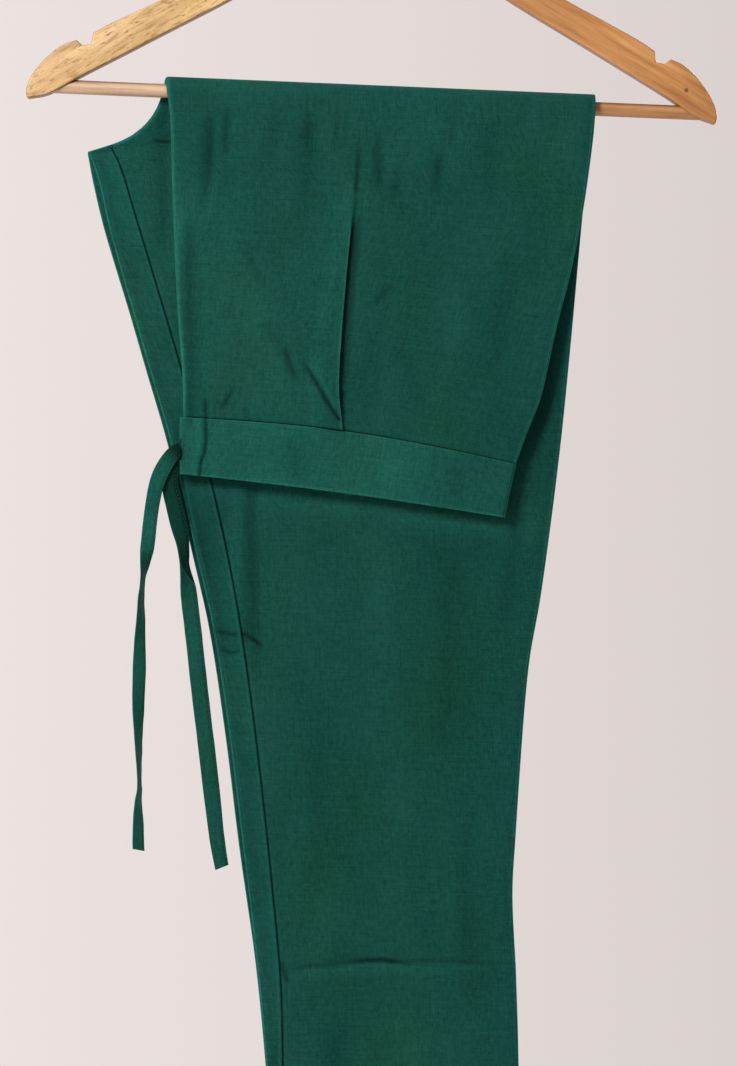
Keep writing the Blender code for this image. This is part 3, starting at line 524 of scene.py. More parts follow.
pleat = {
    "place": 0.45, "from": 0.34, "to": 0.47, "down": [40, 54, 68, 84, 101, 127, 155, 188, 214],
    "x": [-7, -7.2, -8, -9.4, -10.8, -12, -13.1, -13.2, -9.6],
    "depth": [0, 0, 1.5, 3, 4.4, 6.5, 8.5, 10.5, 12], "rise": [0, 0.35, 0.8, 1, 1, 1, 1, 1, 1],
    "least": 1.5, "more": 1.7, "crisp": 0.28, "edgeUp": 0.2, "foldsAt": 1.6, "foldsOver": 2.6, "ramp": 11,
    "ridge": 2.5, "ridgeAt": -1.8, "start": 40, "risesOver": 30, "placedOver": 22, "swells": (60, 110),
    "sinks": (222, 24),
}

# Creases: points (x, down), height towards the looker, width on its left or upper side and on the other
# side, and the shares of it over which it fades in and out, if not the usual ones. Every layer follows the
# deep ones.
usualFades = (0.3, 0.4)
creases = {
    ("drop", "deep"): [
        ([(-112, 75), (-109.5, 147), (-106, 215)], -1, 4, 6.5, 0.25, 0.02),
        ([(-102, 8), (-103, 43), (-105, 86)], -1, 3.6, 4, 0.2, 0.4),
        ([(-91, 6), (-91.5, 30), (-92, 52)], -0.7, 2.4, 3, 0.2, 0.5),
        ([(-38, 6), (-36, 40), (-38, 98)], -0.8, 6, 7, 0.2, 0.4),
        ([(-60, 4), (-61, 30), (-64, 60)], -0.5, 6, 6, 0.2, 0.5),
        ([(-21, 3), (-20.5, 20), (-20, 40)], -0.7, 2.6, 3, 0.2, 0.5),
        ([(6, 16), (8, 45), (9.5, 70)], -1, 3, 3.4),
        ([(19, 38), (19.5, 55), (20, 72)], -0.8, 2.4, 3),
        ([(46, 28), (47, 45), (48, 64)], -0.7, 3, 4),
        ([(80, 8), (82, 40), (84, 80)], -0.6, 7, 7, 0.2, 0.5),
        ([(-70, 142), (-55, 155), (-42, 170)], -0.6, 4, 4, 0.4, 0.4),
        ([(60, 110), (64, 150), (62, 190)], 0.6, 10, 12, 0.3, 0.3),
        ([(96, 90), (92, 140), (88, 185)], -0.6, 7, 9, 0.3, 0.3),
        ([(20, 150), (34, 175), (42, 205)], -0.4, 6, 6, 0.3, 0.3),
        ([(-66, 96), (-64, 130), (-68, 165)], 0.5, 12, 12, 0.3, 0.3),
    ],
    ("drop", "fine"): [
        ([(-121, 60), (-117.5, 140), (-112.5, 205)], 0.5, 2, 3, 0.3, 0.05),
        ([(4.6, 135), (13, 126), (22, 115)], -0.45, 1.8, 2.6),
        ([(-7, 26), (-7, 45), (-7.5, 62)], -0.6, 1.2, 2, 0.4, 0.1),
        ([(-39, 170), (-33, 176), (-28, 183), (-22, 193), (-15, 203), (-11.5, 208)],
         -1.25, 1.5, 1.2, 0.35, 0.02),
        ([(-35, 170), (-28, 178), (-20, 189), (-13.5, 202)], 0.9, 1.8, 3.2, 0.4, 0.05),
        ([(-50, 160), (-45, 175), (-38, 188)], -0.65, 1.8, 2.2),
        ([(-99.2, 196), (-98.6, 203), (-98.2, 210)], -0.8, 1.1, 1.4, 0.3, 0.02),
        ([(-89, 206), (-85, 198), (-80, 189)], -0.6, 1.5, 1.9),
        ([(-74, 200), (-72, 206), (-70, 212)], -0.3, 2, 2.4, 0.3, 0.2),
        ([(-101.8, 16), (-102.2, 42), (-103, 70)], -0.32, 1.7, 2.4),
        ([(-93.2, 8), (-93.6, 24), (-94, 42)], -0.24, 1.6, 2.2),
        ([(-39.5, 5), (-40, 20), (-40.6, 38)], -0.24, 2.4, 2.8),
        ([(-15.4, 3), (-15.8, 20), (-16.6, 42)], -0.24, 1.8, 2.4),
        ([(3, 26), (5.6, 44), (8.6, 63)], -0.3, 1.6, 2.2),
        ([(17.2, 50), (15.8, 59), (14, 69)], -0.42, 1.5, 2),
        ([(46, 30), (43.4, 48), (40.2, 66)], -0.42, 1.7, 2.4),
        ([(52, 5), (50.8, 20), (49.2, 36)], -0.26, 2.4, 2.8),
        ([(-80, 94), (-71, 111), (-62, 129)], -0.22, 2, 2.8),
    ],
    ("leg", "deep"): [
        ([(-65, 240), (-62, 300), (-59, 345), (-55, 388)], -1.1, 7, 3.2, 0.1, 0.35),
        ([(-74, 250), (-72, 300), (-69, 350)], 0.8, 7, 5, 0.2, 0.4),
        ([(-133, 5), (-131, 45), (-129, 95), (-126, 130)], -1, 6, 4, 0.1, 0.4),
        ([(20, 270), (24, 330), (22, 400)], 0.6, 14, 14, 0.2, 0.4),
        ([(70, 280), (66, 350), (68, 430)], -0.6, 10, 12, 0.3, 0.3),
        ([(-20, 400), (-12, 470), (-8, 540)], -0.6, 9, 9, 0.3, 0.3),
        ([(40, 420), (44, 500), (40, 550)], 0.5, 12, 12, 0.3, 0.3),
        ([(82, 440), (86, 520), (92, 600)], -0.7, 7, 9, 0.3, 0.3),
        ([(0, 580), (6, 630), (4, 688)], -0.7, 8, 10, 0.3, 0.05),
        ([(56, 590), (60, 640), (64, 688)], 0.7, 10, 10, 0.3, 0.05),
        ([(110, 250), (105, 300), (100, 350)], -0.5, 5, 5, 0.3, 0.3),
        ([(126, 100), (120, 170), (114, 240)], -0.8, 6, 8, 0.2, 0.3),
        ([(0, 120), (4, 180), (-2, 240)], 0.5, 14, 14, 0.3, 0.3),
    ],
    ("leg", "fine"): [
        ([(-87, 347), (-79, 349), (-70, 350)], -0.7, 1.2, 1.4, 0.2, 0.2),
        ([(-70, 348), (-62, 352), (-53, 358)], -0.75, 1.2, 1.8, 0.1, 0.35),
        ([(-84, 359), (-76, 361), (-69, 360)], -0.55, 1.2, 1.4, 0.2, 0.3),
        ([(-36, 566), (-18, 562), (0, 560), (15, 557), (29, 556), (44, 557), (66, 555), (90, 555),
          (115, 556)], -0.35, 1.4, 2, 0.12, 0.3),
        ([(6, 560), (15, 557.5), (29, 556), (40, 557), (50, 558.5)], -0.6, 1.2, 1.8, 0.35, 0.35),
        ([(-30, 569), (0, 565), (15, 562), (40, 562), (66, 560), (108, 561)], 0.4, 3, 4, 0.2, 0.3),
        ([(-35, 558), (-33, 566), (-30, 574)], -0.6, 1.3, 1.5, 0.2, 0.2),
        ([(-139.5, 32), (-134, 32.1), (-128, 32.3)], -0.75, 1, 1.1, 0.1, 0.1),
    ],
}
wallCreases = [  # on the side towards the wall, which the photograph hides
    ([(-112, 40), (-108, 90), (-103, 150)], 0.45, 2.5, 4, 0.2, 0.4),
    ([(-60, 60), (-30, 66), (10, 64)], 0.4, 1.8, 2.6, 0.3, 0.3),
    ([(30, 90), (44, 120), (50, 160)], 0.45, 2, 3),
    ([(-50, 330), (-20, 338), (16, 336), (44, 341)], 0.45, 1.6, 2.4, 0.2, 0.3),
    ([(60, 300), (80, 312), (96, 330)], 0.35, 2, 2.6),
    ([(-30, 556), (10, 551), (50, 553), (108, 549)], 0.5, 1.6, 2.4, 0.15, 0.3),
    ([(20, 610), (34, 630), (40, 660)], 0.35, 2.2, 3),
]


def creaseHeights(table, x, down):
    total = np.zeros(np.shape(x))
    for points, height, before, after, *fades in table:
        fadeIn, fadeOut = fades or usualFades
        best, side, share = np.full(total.shape, 1e9), np.zeros(total.shape), np.zeros(total.shape)
        points = np.array(points, float)
        steps = np.linalg.norm(np.diff(points, axis=0), axis=1)
        run = 0.0
        for (ax, ay), (tx, ty), step in zip(points, unit(np.diff(points, axis=0)), steps):
            t = np.clip((x - ax) * tx + (down - ay) * ty, 0, step)
            dx, dy = x - ax - t * tx, down - ay - t * ty
            far = np.hypot(dx, dy)
            nearer = far < best
            best, side, share = (np.where(nearer, new, kept) for new, kept in
                                 ((far, best), (dx * ty - dy * tx, side), ((run + t) / steps.sum(), share)))
            run += step
        fade = smoothstep((share + 0.02) / (fadeIn + 0.02)) * smoothstep((1.02 - share) / (fadeOut + 0.02))
        total += height * bell(best, np.where(side < 0, before, after)) * fade
    return total


paintedSpots = {  # painted light and shade in soft spots, for the light's fall and for shadows: x, down, half widths, how much lighter
    "drop": [
        (-62, 120, 46, 62, 0.07), (-50, 195, 60, 14, 0.06), (70, 120, 46, 90, -0.13),
        (-60, 20, 60, 26, -0.06), (4, 165, 9, 42, -0.16), (60, 20, 40, 22, 0.02),
    ],
    "leg": [
        (40, 420, 74, 190, -0.1), (100, 330, 26, 110, -0.12), (-30, 610, 40, 60, 0.03),
        (60, 620, 50, 50, 0.02), (-150, 60, 26, 40, 0.06), (-84, 252, 8, 12, 0.1),
        (40, 290, 90, 26, -0.06), (-70, 256, 46, 6, 0.25), (0, 263, 46, 6, 0.4), (70, 271, 38, 7, 0.5),
        (-97, 288, 21, 55, -0.42), (116, 170, 16, 110, -0.22),
    ],
}

# Soft unevenness: how much, the size of its cells across and down, its seed, and how far it slants. Every
# layer follows the common kind, and a side that shows has its own kind too.
unevenness = {
    "common": ((0.75, 38, 90, 11, 0), (0.42, 19, 46, 12, 0.35)),
    "own": ((0.17, 8, 17, 13, 0.35), (0.07, 4, 7, 14, 0)),
    "band": ((0.16, 13, 9, 21, 0), (0.08, 5, 7, 22, 0)), "bandWear": ((0.08, 30, 14, 23, 0),),
}
reliefLook = {
    "height": {"common": 1.3, "deep": 1.8, "own": 1.2, "fine": 1.15}, "fineHeight": 1.25, "flatNearRod": 25,
    "shadeAndTone": {"common": 0.08, "deep": 0.25, "fine": 0.9}, "darkest": -0.8, "lightest": 0.25,
}


def uneven(kind, x, down):
    return sum(amount * softNoise(x + slant * down, down, across, along, seed)
               for amount, across, along, seed, slant in unevenness[kind])


def relief(kind, x, down, facing):  # how far towards the looker the cloth stands, and its painted light and shade there
    common = uneven("common", x, down)
    own = uneven("own", x, down) if facing else 0.0
    deep = creaseHeights(creases[kind, "deep"], x, down)
    fine, away = 0.0, -1 if facing == "wall" else 1
    if facing:
        fine = creaseHeights(wallCreases if facing == "wall" else creases[kind, "fine"], x, down)
        fine = away * reliefLook["fineHeight"] * fine
    high, shadeAndTone = reliefLook["height"], reliefLook["shadeAndTone"]
    height = (high["common"] * common + high["deep"] * deep) * smoothstep(down / reliefLook["flatNearRod"])
    height = height + high["own"] * own + high["fine"] * fine
    # Painted shade in creases and dips and painted highlight on ridges, from the heights, with a little
    # random tone.
    shadeAndTone = shadeAndTone["common"] * common + shadeAndTone["deep"] * deep + shadeAndTone["fine"] * fine * away
    shadeAndTone = np.clip(shadeAndTone + 0 * x, reliefLook["darkest"], reliefLook["lightest"])
    spots = sum(amount * bell(x - cx, rx) * bell(down - cd, rd) for cx, cd, rx, rd, amount in paintedSpots[kind])
    return height, shadeAndTone + spots


def spot(kind, x, down, out, angle):  # where a point of the cloth lies, level, in millimetres
    share = np.clip(down / cloth["closesOver"], 0, 1)
    slope = cloth["closes"] * 6 * share * (1 - share) / cloth["closesOver"]
    reach = np.hypot(1.0, slope)
    onDrop = (x, -cloth["bar"] + cloth["closes"] * smoothstep(share) - out / reach,
              -hanging["rodDown"] - down - out * slope / reach)
    radius = cloth["bar"] + out
    onBar = (x, radius * np.sin(angle), -hanging["rodDown"] + radius * np.cos(angle))
    onLeg = (x, cloth["bar"] + out, -hanging["rodDown"] - down)
    chosen = [np.where(kind == 0, a, np.where(kind == 1, b, c)) for a, b, c in zip(onDrop, onBar, onLeg)]
    return np.stack(np.broadcast_arrays(*chosen), -1)


def inward(down, x, sign):
    dDown, dX = np.gradient(down), np.gradient(x)
    size = np.hypot(dDown, dX)
    flip = np.where(dDown * sign < 0, -1.0, 1.0)
    return dDown / size * flip, -dX / size * flip


def withWays(rows):  # adds, at each end of a row, the way from the cloth's edge into the cloth
    for side, sign in (("left", 1), ("right", -1)):
        ways = np.array([np.full(len(rows["kind"]), float(sign)), np.zeros(len(rows["kind"]))])
        for part in (rows["kind"] == 0, rows["kind"] == 2):  # round the rod it is level
            if part.any():
                ways[:, part] = inward(rows[side + "Down"][part], rows[side + "X"][part], sign)
        rows[side + "InX"], rows[side + "InDown"] = ways
    return rows


def clothRows():
    dropShare = np.concatenate([[1, 0.997, 0.992, 0.985], np.linspace(0.98, 0.74, 45, endpoint=False),
                                np.linspace(0.74, 0, 64, endpoint=False)])
    spans = ((50, 338, 66), (339.5, 364, 19), (367, 546, 42), (547.5, 576, 22), (579, cloth["hemDown"], 27))
    nearTip = [28.5, 30, 31.2, 32.4, 33.6, 34.6, crotchDown, 37.2, 38.4, 39.6, tipDown, 41.8, 43.2, 45, 47.5]
    legDown = np.concatenate([np.linspace(3, 24, 8), nearTip, *(np.linspace(*span) for span in spans)])
    barShare = np.linspace(0, 1, 15)
    n, b, g = len(dropShare), len(barShare), len(legDown)
    leftDrop, rightDrop = waistSeam["leftDown"] * dropShare, waistSeam["rightDown"] * dropShare
    crotch, legFold = (through(outline[key], legDown) for key in ("crotch", "legFold"))
    rows = {
        "kind": np.repeat([0, 1, 2], [n, b, g]),
        "angle": np.concatenate([np.zeros(n), math.pi * (barShare - 0.5), np.zeros(g)]),
        "leftDown": np.concatenate([leftDrop, np.zeros(b), legDown]),
        "rightDown": np.concatenate([rightDrop, np.zeros(b), legDown]),
        "leftX": np.concatenate([through(outline["centreFront"], leftDrop), -132.0 - 3.2 * barShare,
                                 np.where(legDown <= tipDown, crotch, legFold)]),
        "rightX": np.concatenate([through(outline["dropSide"], rightDrop), 144.2 - 0.8 * barShare,
                                  through(outline["legSide"], legDown)]),
        "bow": np.concatenate([waistSeam["bow"] * dropShare**2, np.zeros(b + g)]),
    }
    rows["leadX"] = through(outline["inseam"], rows["leftDown"])
    return withWays(rows)


def startOf(rows, pulledIn):
    return rows["leftX"] + rows["leftInX"] * pulledIn, rows["leftDown"] + rows["leftInDown"] * pulledIn


def endOf(rows, pulledIn):
    return rows["rightX"] + rows["rightInX"] * pulledIn, rows["rightDown"] + rows["rightInDown"] * pulledIn


def turnSteps(radius, fromOut, centreOut, steps, sweep):  # from the flat cloth round an edge: pulled in, out
    side = 1.0 if fromOut > centreOut else -1.0
    angles = np.linspace(0, sweep, steps + 1)
    return list(zip(radius * (1 - np.sin(angles)), centreOut + side * radius * np.cos(angles)))


def turnColumns(rows, edgeOf, steps, lightAndShade, keep):
    return [(*edgeOf(rows, pulledIn), out, lightAndShade, keep) for pulledIn, out in steps]


def stacked(columns):  # each column's values, one a row: x, down, out, painted light and shade, and whether its points are kept
    return [np.stack([column[k] + 0 * column[0] for column in columns], 1) for k in range(5)]


def easedShares(count, edge=(0.0, 0.0035, 0.008, 0.015)):
    return np.concatenate([edge, np.linspace(0.026, 0.974, count - 2 * len(edge)), 1 - np.array(edge[::-1])])


def pleatSection(depth, high):  # each column's distance from the fold edge and height, folded or only ridged
    d, high = depth[:, None], high[:, None]
    radius, crisp, edgeUp, ramp = high / 4, pleat["crisp"], pleat["edgeUp"], pleat["ramp"]
    one, top = np.ones_like(d), high + edgeUp
    t, half, back = np.linspace(0, 1, 10)[:-1], np.linspace(0, math.pi, 7)[1:-1], np.linspace(0, 1, 4)
    onTop = np.linspace(0, 1, 11)
    sections = (
        (-d - ramp + t * (ramp + radius), high * smoothstep(t)),
        (-d + radius + (d - radius - crisp) * onTop, high + edgeUp * onTop**2),
        (-crisp + crisp * np.sin(half) * one, top - crisp + crisp * np.cos(half)),
        (-crisp - (d - radius - crisp) * back, (top - 2 * crisp) * (1 - back) + 2 * radius * back),
        (-d + radius - radius * np.sin(half), radius * np.cos(half)),
        (-d + radius, 0 * one),
    )
    across, height = (np.concatenate([section[k] for section in sections], 1) for k in range(2))
    ridgeAt = np.linspace(-12, 5, across.shape[1])
    fromTop = ridgeAt - pleat["ridgeAt"]
    ridge = pleat["ridge"] * bell(fromTop, np.where(fromTop < 0, 4.6, 2.6)) * one
    folded = smoothstep((d - pleat["foldsAt"]) / pleat["foldsOver"])
    return ridgeAt * (1 - folded) + across * folded, ridge * (1 - folded) + height * folded


def gridPiece(name, columns, rows, facing, hemSide):
    x, down, out, extra, keep = stacked(columns)
    keep = keep > 0.5
    kind = rows["kind"][:, None]
    (dropHeight, dropWorn), (legHeight, legWorn) = (
        relief(where, x, down, towards) for where, towards in zip(("drop", "leg"), facing))
    height, shadeAndTone = (np.where(kind == 0, a, np.where(kind == 2, b, 0.0)) for a, b in
                    ((dropHeight, legHeight), (dropWorn, legWorn)))
    points = spot(kind, x, down, out + np.where(kind == 0, 1.0, -1.0) * height, rows["angle"][:, None])
    inside = hemSide * hem["inside"]  # where the hem is turned up
    turned = [(0, inside * 0.5 * (1 - math.cos(a)), -hem["below"] * math.sin(a)) for a in hem["turn"]]
    turned += [(0, inside, up) for up in hem["up"]]
    points = np.concatenate([points, points[-1] + np.array(turned)[:, None]])
    shadeAndTone, keep = (np.concatenate([k, np.repeat(k[-1:], len(turned), 0)]) for k in (shadeAndTone + extra, keep))
    middle = points.shape[1] // 2
    u = runLength(points)
    piece = clothPiece(name, points, u - u[:, [middle]], runLength(points[:, middle])[:, None], shadeAndTone)
    deletePoints(piece, ~keep)
    return piece, (points, keep)


def seamShadeAndHighlight(away, lipLight, line=1.2):  # painted shade in the seam's groove, and a painted highlight on the lip beside it
    return lipLight * bell(away - 1.5, 0.8) - line * bell(away, 0.6)


# Painted light and shade on a front: highlights on its turned, left and right edges, shade along the waist
# seam and near the side, and a painted shadow beside the pleat.
frontLook = {
    "wrapHighlight": 0.70, "leftLight": 0.30, "legLipLight": 0.06, "waistLine": 0.9, "waistLight": 0.45,
    "sideShade": 0.14, "sideShadeAt": 2.6, "sideLight": 1.0, "seamDip": 0.35, "waistDip": 0.25,
    "pleatLightAndShadow": ([0, 17, 19, 21, 23, 25, 32, 34], [0, 0, 0.9, 0.9, -0.9, -1.3, -1.3, -2.0]),
}


def frontColumns(rows, name):
    look = frontLook
    out = layerOf[name] * cloth["layer"]
    onLeg = (rows["kind"] == 2) & (rows["leftDown"] >= crotchDown)
    side = 1.0 if name == "frontRight" else -1.0
    steps = turnSteps(cloth["foldTurn"], out, cloth["foldTurn"], 6, math.pi / 2 - 0.09)
    kept = ~onLeg | (rows["leftDown"] == crotchDown)
    columns = turnColumns(rows, startOf, steps[:0:-1], look["wrapHighlight"], kept)
    sx, sd = startOf(rows, cloth["foldTurn"])
    sx = np.where(onLeg, rows["leadX"] + cloth["gap"] / 2, sx)
    sd = np.where(onLeg, rows["leftDown"], sd)
    ex, ed = endOf(rows, cloth["seamTurn"])
    lastX, lastDown = endOf(rows, cloth["seamTurn"] + cloth["gap"])
    seamDip = np.where(onLeg, -look["seamDip"] * side, 0.0)
    waist = np.where(rows["kind"] == 0, waistSeam["rightDown"] - rows["rightDown"], 99.0)
    waistDip = -look["waistDip"] * side * bell(waist, 0.9)

    def flat(share, height=0.0, more=0.0):
        fromLeft = share * (ex - sx)
        x = np.where(share >= 1.0, lastX, sx + fromLeft)
        d = np.where(share >= 1.0, lastDown, sd + (ed - sd) * share - rows["bow"] * np.sin(math.pi * share))
        nearLeft = bell(fromLeft, 1.2)
        # painted shade on seam lines, painted highlights on lit edges, painted shade near the side
        lightAndShade = more + seamShadeAndHighlight(waist, 0.0, look["waistLine"])
        lightAndShade = lightAndShade + np.where(onLeg, seamShadeAndHighlight(fromLeft, look["legLipLight"]), look["leftLight"] * nearLeft)
        lightAndShade = lightAndShade - look["sideShade"] * bell(lastX - x - look["sideShadeAt"], 2.0)
        lightAndShade = lightAndShade + look["sideLight"] * bell(lastX - x, 0.6)
        lightAndShade = lightAndShade + look["waistLight"] * smoothstep((x + 60) / 150) * bell(waist, 0.6)
        columns.append((x, d, out + height + seamDip * nearLeft + waistDip, lightAndShade, 1))

    for share in easedShares(50) * pleat["from"]:
        flat(share)
    down = sd + (ed - sd) * pleat["place"] - rows["bow"]
    past = down - pleat["start"]
    onDrop = (rows["kind"] == 0) & (past > 0)
    foldX, depth, rise = (through([*zip(pleat["down"], pleat[key])], down) for key in ("x", "depth", "rise"))
    rise = np.where(onDrop, np.clip(rise, 0, 1) * smoothstep(past / pleat["risesOver"]), 0.0)
    (swell, swellOver), (sink, sinkOver) = pleat["swells"], pleat["sinks"]
    swollen = smoothstep((down - swell) / swellOver) * smoothstep((sink - down) / sinkOver)
    high = pleat["least"] + pleat["more"] * swollen
    across, height = pleatSection(np.clip(depth, 0, 20), high)
    count = across.shape[1]
    # painted highlight on the pleat's fold, painted shadow under it and beside it
    lightAndShade = np.interp(np.arange(count), *look["pleatLightAndShadow"])
    for k in range(count):
        plain = pleat["from"] + (pleat["to"] - pleat["from"]) * (k + 1) / (count + 1)
        folded = (foldX + across[:, k] - sx) / (ex - sx)
        flat(plain + (folded - plain) * smoothstep(past / pleat["placedOver"]) * onDrop,
             side * height[:, k] * rise,
             lightAndShade[k] * rise * smoothstep((depth - pleat["foldsAt"]) / pleat["foldsOver"]))
    for share in easedShares(45) * (1 - pleat["to"]) + pleat["to"]:
        flat(share)
    return columns


# A back's strip beside the inseam: the shares of its columns, and the painted lights and shades on it, each
# how far from the fold, how wide and how much. The near ones fade away from a place on the leg.
strip = {
    "shares": (0.0, 0.02, 0.045, 0.075, 0.11, 0.16, 0.3, 0.5, 0.7, 0.8, 0.87, 0.91, 0.94, 0.97), "lipLight": 0.55,
    "near": ((2.4, 0.8, 0.55), (5.0, 2.0, -0.22)), "far": ((13.0, 5.0, 0.10),), "fadeFrom": 275,
    "fadeOver": 60, "least": 0.3, "dip": 0.35, "wrapHighlight": 1.05,
}


def backColumns(rows, name):
    right = name == "backRight"
    out, frontOut = layerOf[name] * cloth["layer"], 3 * cloth["layer"] if right else 0.0
    radius, between = cloth["seamTurn"], (out + frontOut) / 2
    onLeg = (rows["kind"] == 2) & (rows["leftDown"] >= crotchDown)
    inset = 0.0 if right else through(outline["leftLegInset"], rows["leftDown"]) * onLeg
    own = {**rows, "leftX": rows["leftX"] + inset}
    edgeX, edgeDown = startOf(own, radius)
    leadX = rows["leadX"] - cloth["gap"] / 2
    inner = np.minimum(leadX, edgeX)
    dip = strip["dip"] * (-1 if right else 1)
    columns = []
    for share in strip["shares"]:
        x = leadX + (inner - leadX) * share
        d = rows["leftDown"] + (edgeDown - rows["leftDown"]) * share
        near, far = (sum(amount * bell(x - own["leftX"] - at, wide) for at, wide, amount in strip[key])
                     for key in ("near", "far"))
        fading = strip["least"] + (1 - strip["least"]) * bell(d - strip["fadeFrom"], strip["fadeOver"])
        lit = near * fading + far
        # painted shade in the seam, painted highlights and shade on the strip
        lightAndShade = seamShadeAndHighlight(leadX - x, strip["lipLight"]) + lit
        columns.append((x, d, frontOut + dip * bell(leadX - x, 1.2), lightAndShade, onLeg))
    steps = turnSteps(radius, frontOut, between, 8, math.pi)
    columns += turnColumns(own, startOf, steps[:-1], strip["wrapHighlight"], onLeg)
    sx, sd = startOf(own, cloth["foldTurn"])
    sx, sd = np.where(onLeg, edgeX, sx), np.where(onLeg, edgeDown, sd)
    ex, ed = endOf(rows, radius)
    for share in easedShares(72):
        d = sd + (ed - sd) * share - rows["bow"] * math.sin(math.pi * share)
        columns.append((sx + (ex - sx) * share, d, out, 0.0, 1))
    steps = turnSteps(radius, out, between, 8, math.pi)
    return columns + turnColumns(rows, endOf, steps[1:], strip["wrapHighlight"], 1)


front = {"columns": frontColumns, "flat": (0.300, 0.960), "area": 0.215, "shownColumn": 20}
back = {"columns": backColumns, "flat": (0.345, 0.960), "area": 0.235, "shownColumn": 2}
panels = {
    "frontLeft": {**front, "node": "front_left", "facing": ("", "looker"), "hem": 1, "outside": -1},
    "backLeft": {**back, "node": "back_left", "facing": ("", "looker"), "hem": -1, "outside": -1},
    "backRight": {**back, "node": "back_right", "facing": ("", "wall"), "hem": 1, "outside": -1},
    "frontRight": {**front, "node": "front_right", "facing": ("looker", "wall"), "hem": -1, "outside": 1},
}
rows = clothRows()
surface = {}
for name, settings in panels.items():
    columns = settings["columns"](rows, name)
    piece, surface[name] = gridPiece(name, columns, rows, settings["facing"], settings["hem"])
    thicken(piece, cloth["thickness"])
    dress(piece, greenCotton, settings["node"])
    print(name, "made")

# The waistband: one piece round the centre front, and one inside it round the centre back.
band = {
    "thickness": 0.85, "edgeRound": 0.2, "high": 36, "rows": 22, "columns": 92, "fineColumns": 32,
    "proud": 0.12,
    "nodes": {"waistbandFront": "waistband_front", "waistbandBack": "waistband_back"},
    "slot": {"x": -112.8, "at": 0.62, "from": 0.45, "to": 0.70}, "shadeAndTone": 0.40, "creaseLightAndShade": 1.1,
    "rightShade": 0.22, "stitchedRow": 2, "shownColumn": 20,
}
bandCreases = [
    ([(-98.2, 209), (-97.2, 226), (-98.2, 233), (-100.2, 238.5), (-100.4, 248)],
     -1.15, 1.3, 1.3, 0.02, 0.02),
    ([(-103, 212), (-102, 226), (-104, 247)], 0.25, 3, 3, 0.1, 0.1),
    ([(-40, 218), (-38, 230), (-41, 246)], -0.2, 4, 5, 0.3, 0.3),
    ([(20, 224), (24, 236), (20, 252)], 0.2, 6, 6, 0.3, 0.3),
    ([(66, 230), (64, 244), (66, 260)], -0.2, 4, 5, 0.3, 0.3),
]


def makeBand(name, node):
    outer = name == "waistbandFront"
    t = np.array([0, 0.012, 0.03, 0.06, *np.linspace(0.1, 0.92, band["rows"] - 7), 0.96, 0.985, 1])
    rows = {key: waistSeam[key] * (1 - t) + bandEdge[key] * t for key in waistSeam}
    for key in ("leftDown", "rightDown"):
        rows[key] += cloth["gap"] * (1 - t)
    rows["kind"] = np.zeros(len(t), int)
    withWays(rows)
    outs = [layer * cloth["layer"] for layer in ((3, 0) if outer else (2, 1))]
    radius = (outs[0] - outs[1]) / 2
    sx, sd = startOf(rows, cloth["foldTurn"])
    ex, ed = endOf(rows, cloth["seamTurn"])
    lastX, lastDown = endOf(rows, cloth["seamTurn"] + cloth["gap"])
    shares = np.concatenate([np.linspace(0, 0.16, band["fineColumns"]),
                             np.linspace(0.175, 1, band["columns"] - band["fineColumns"])])
    limbs = []
    for out, seamOut in zip(outs, (3 * cloth["layer"], 0.0)):
        made = []
        for share in shares:
            x, d = sx + (ex - sx) * share, sd + (ed - sd) * share - rows["bow"] * math.sin(math.pi * share)
            if outer and share == 1:
                x, d = lastX, lastDown
            crease = creaseHeights(bandCreases, x, d) if outer and out else 0.0
            made.append((x, d, out + crease, crease, 1))
        if not outer:
            steps = turnSteps(cloth["seamTurn"], out, (out + seamOut) / 2, 6, math.pi)
            made += turnColumns(rows, endOf, steps[1:], 0.0, 1)
        limbs.append(made)
    steps = turnSteps(radius, outs[0], cloth["foldTurn"], 10, math.pi)[1:-1]
    steps = [(pulledIn + cloth["foldTurn"] - radius, out) for pulledIn, out in steps]
    fold = turnColumns(rows, startOf, steps, 0.0, 1)
    x, down, out, creased = stacked(limbs[0][::-1] + fold + limbs[1])[:4]
    edge = np.minimum(t, 1 - t)[:, None] * band["high"]
    rounding = np.where(out > cloth["foldTurn"], 1.0, -1.0) * band["proud"] * (1 - bell(edge, 1.2))
    height = rounding + (uneven("band", x, down) if outer else 0.0)
    points = spot(0, x, down, out + relief("drop", x, down, "")[0] + height, 0.0)
    slot, share = band["slot"], t[:, None]
    # Painted light and shade: the whole band a little lighter, painted highlights along its edges, lighter
    # and darker along its creases, darker to the right, some random tone, and a painted shadow by the slot.
    shadeAndTone = band["shadeAndTone"] + np.where(share > 0.5, 0.9, 0.5) * bell(edge, 1.1) + band["creaseLightAndShade"] * creased
    shadeAndTone = shadeAndTone + uneven("bandWear", x, down) - band["rightShade"] * smoothstep(x / 90)
    if outer:
        shadeAndTone = shadeAndTone - bell(x - slot["x"], 1.8) * bell(share - slot["at"], 0.2)
    piece = clothPiece(name, points, runLength(points), share * band["high"], shadeAndTone)
    if outer:  # the slot that the ties come out of
        inSlot = np.zeros(x.shape, bool)
        inSlot[(t > slot["from"]) & (t < slot["to"]), len(limbs[0]) + 1:len(limbs[0]) + len(fold) - 1] = True
        deletePoints(piece, inSlot)
    thicken(piece, band["thickness"], band["edgeRound"])
    dress(piece, greenCotton, node)
    print(name, "made")
    return points


bandPoints = {name: makeBand(name, node) for name, node in band["nodes"].items()}

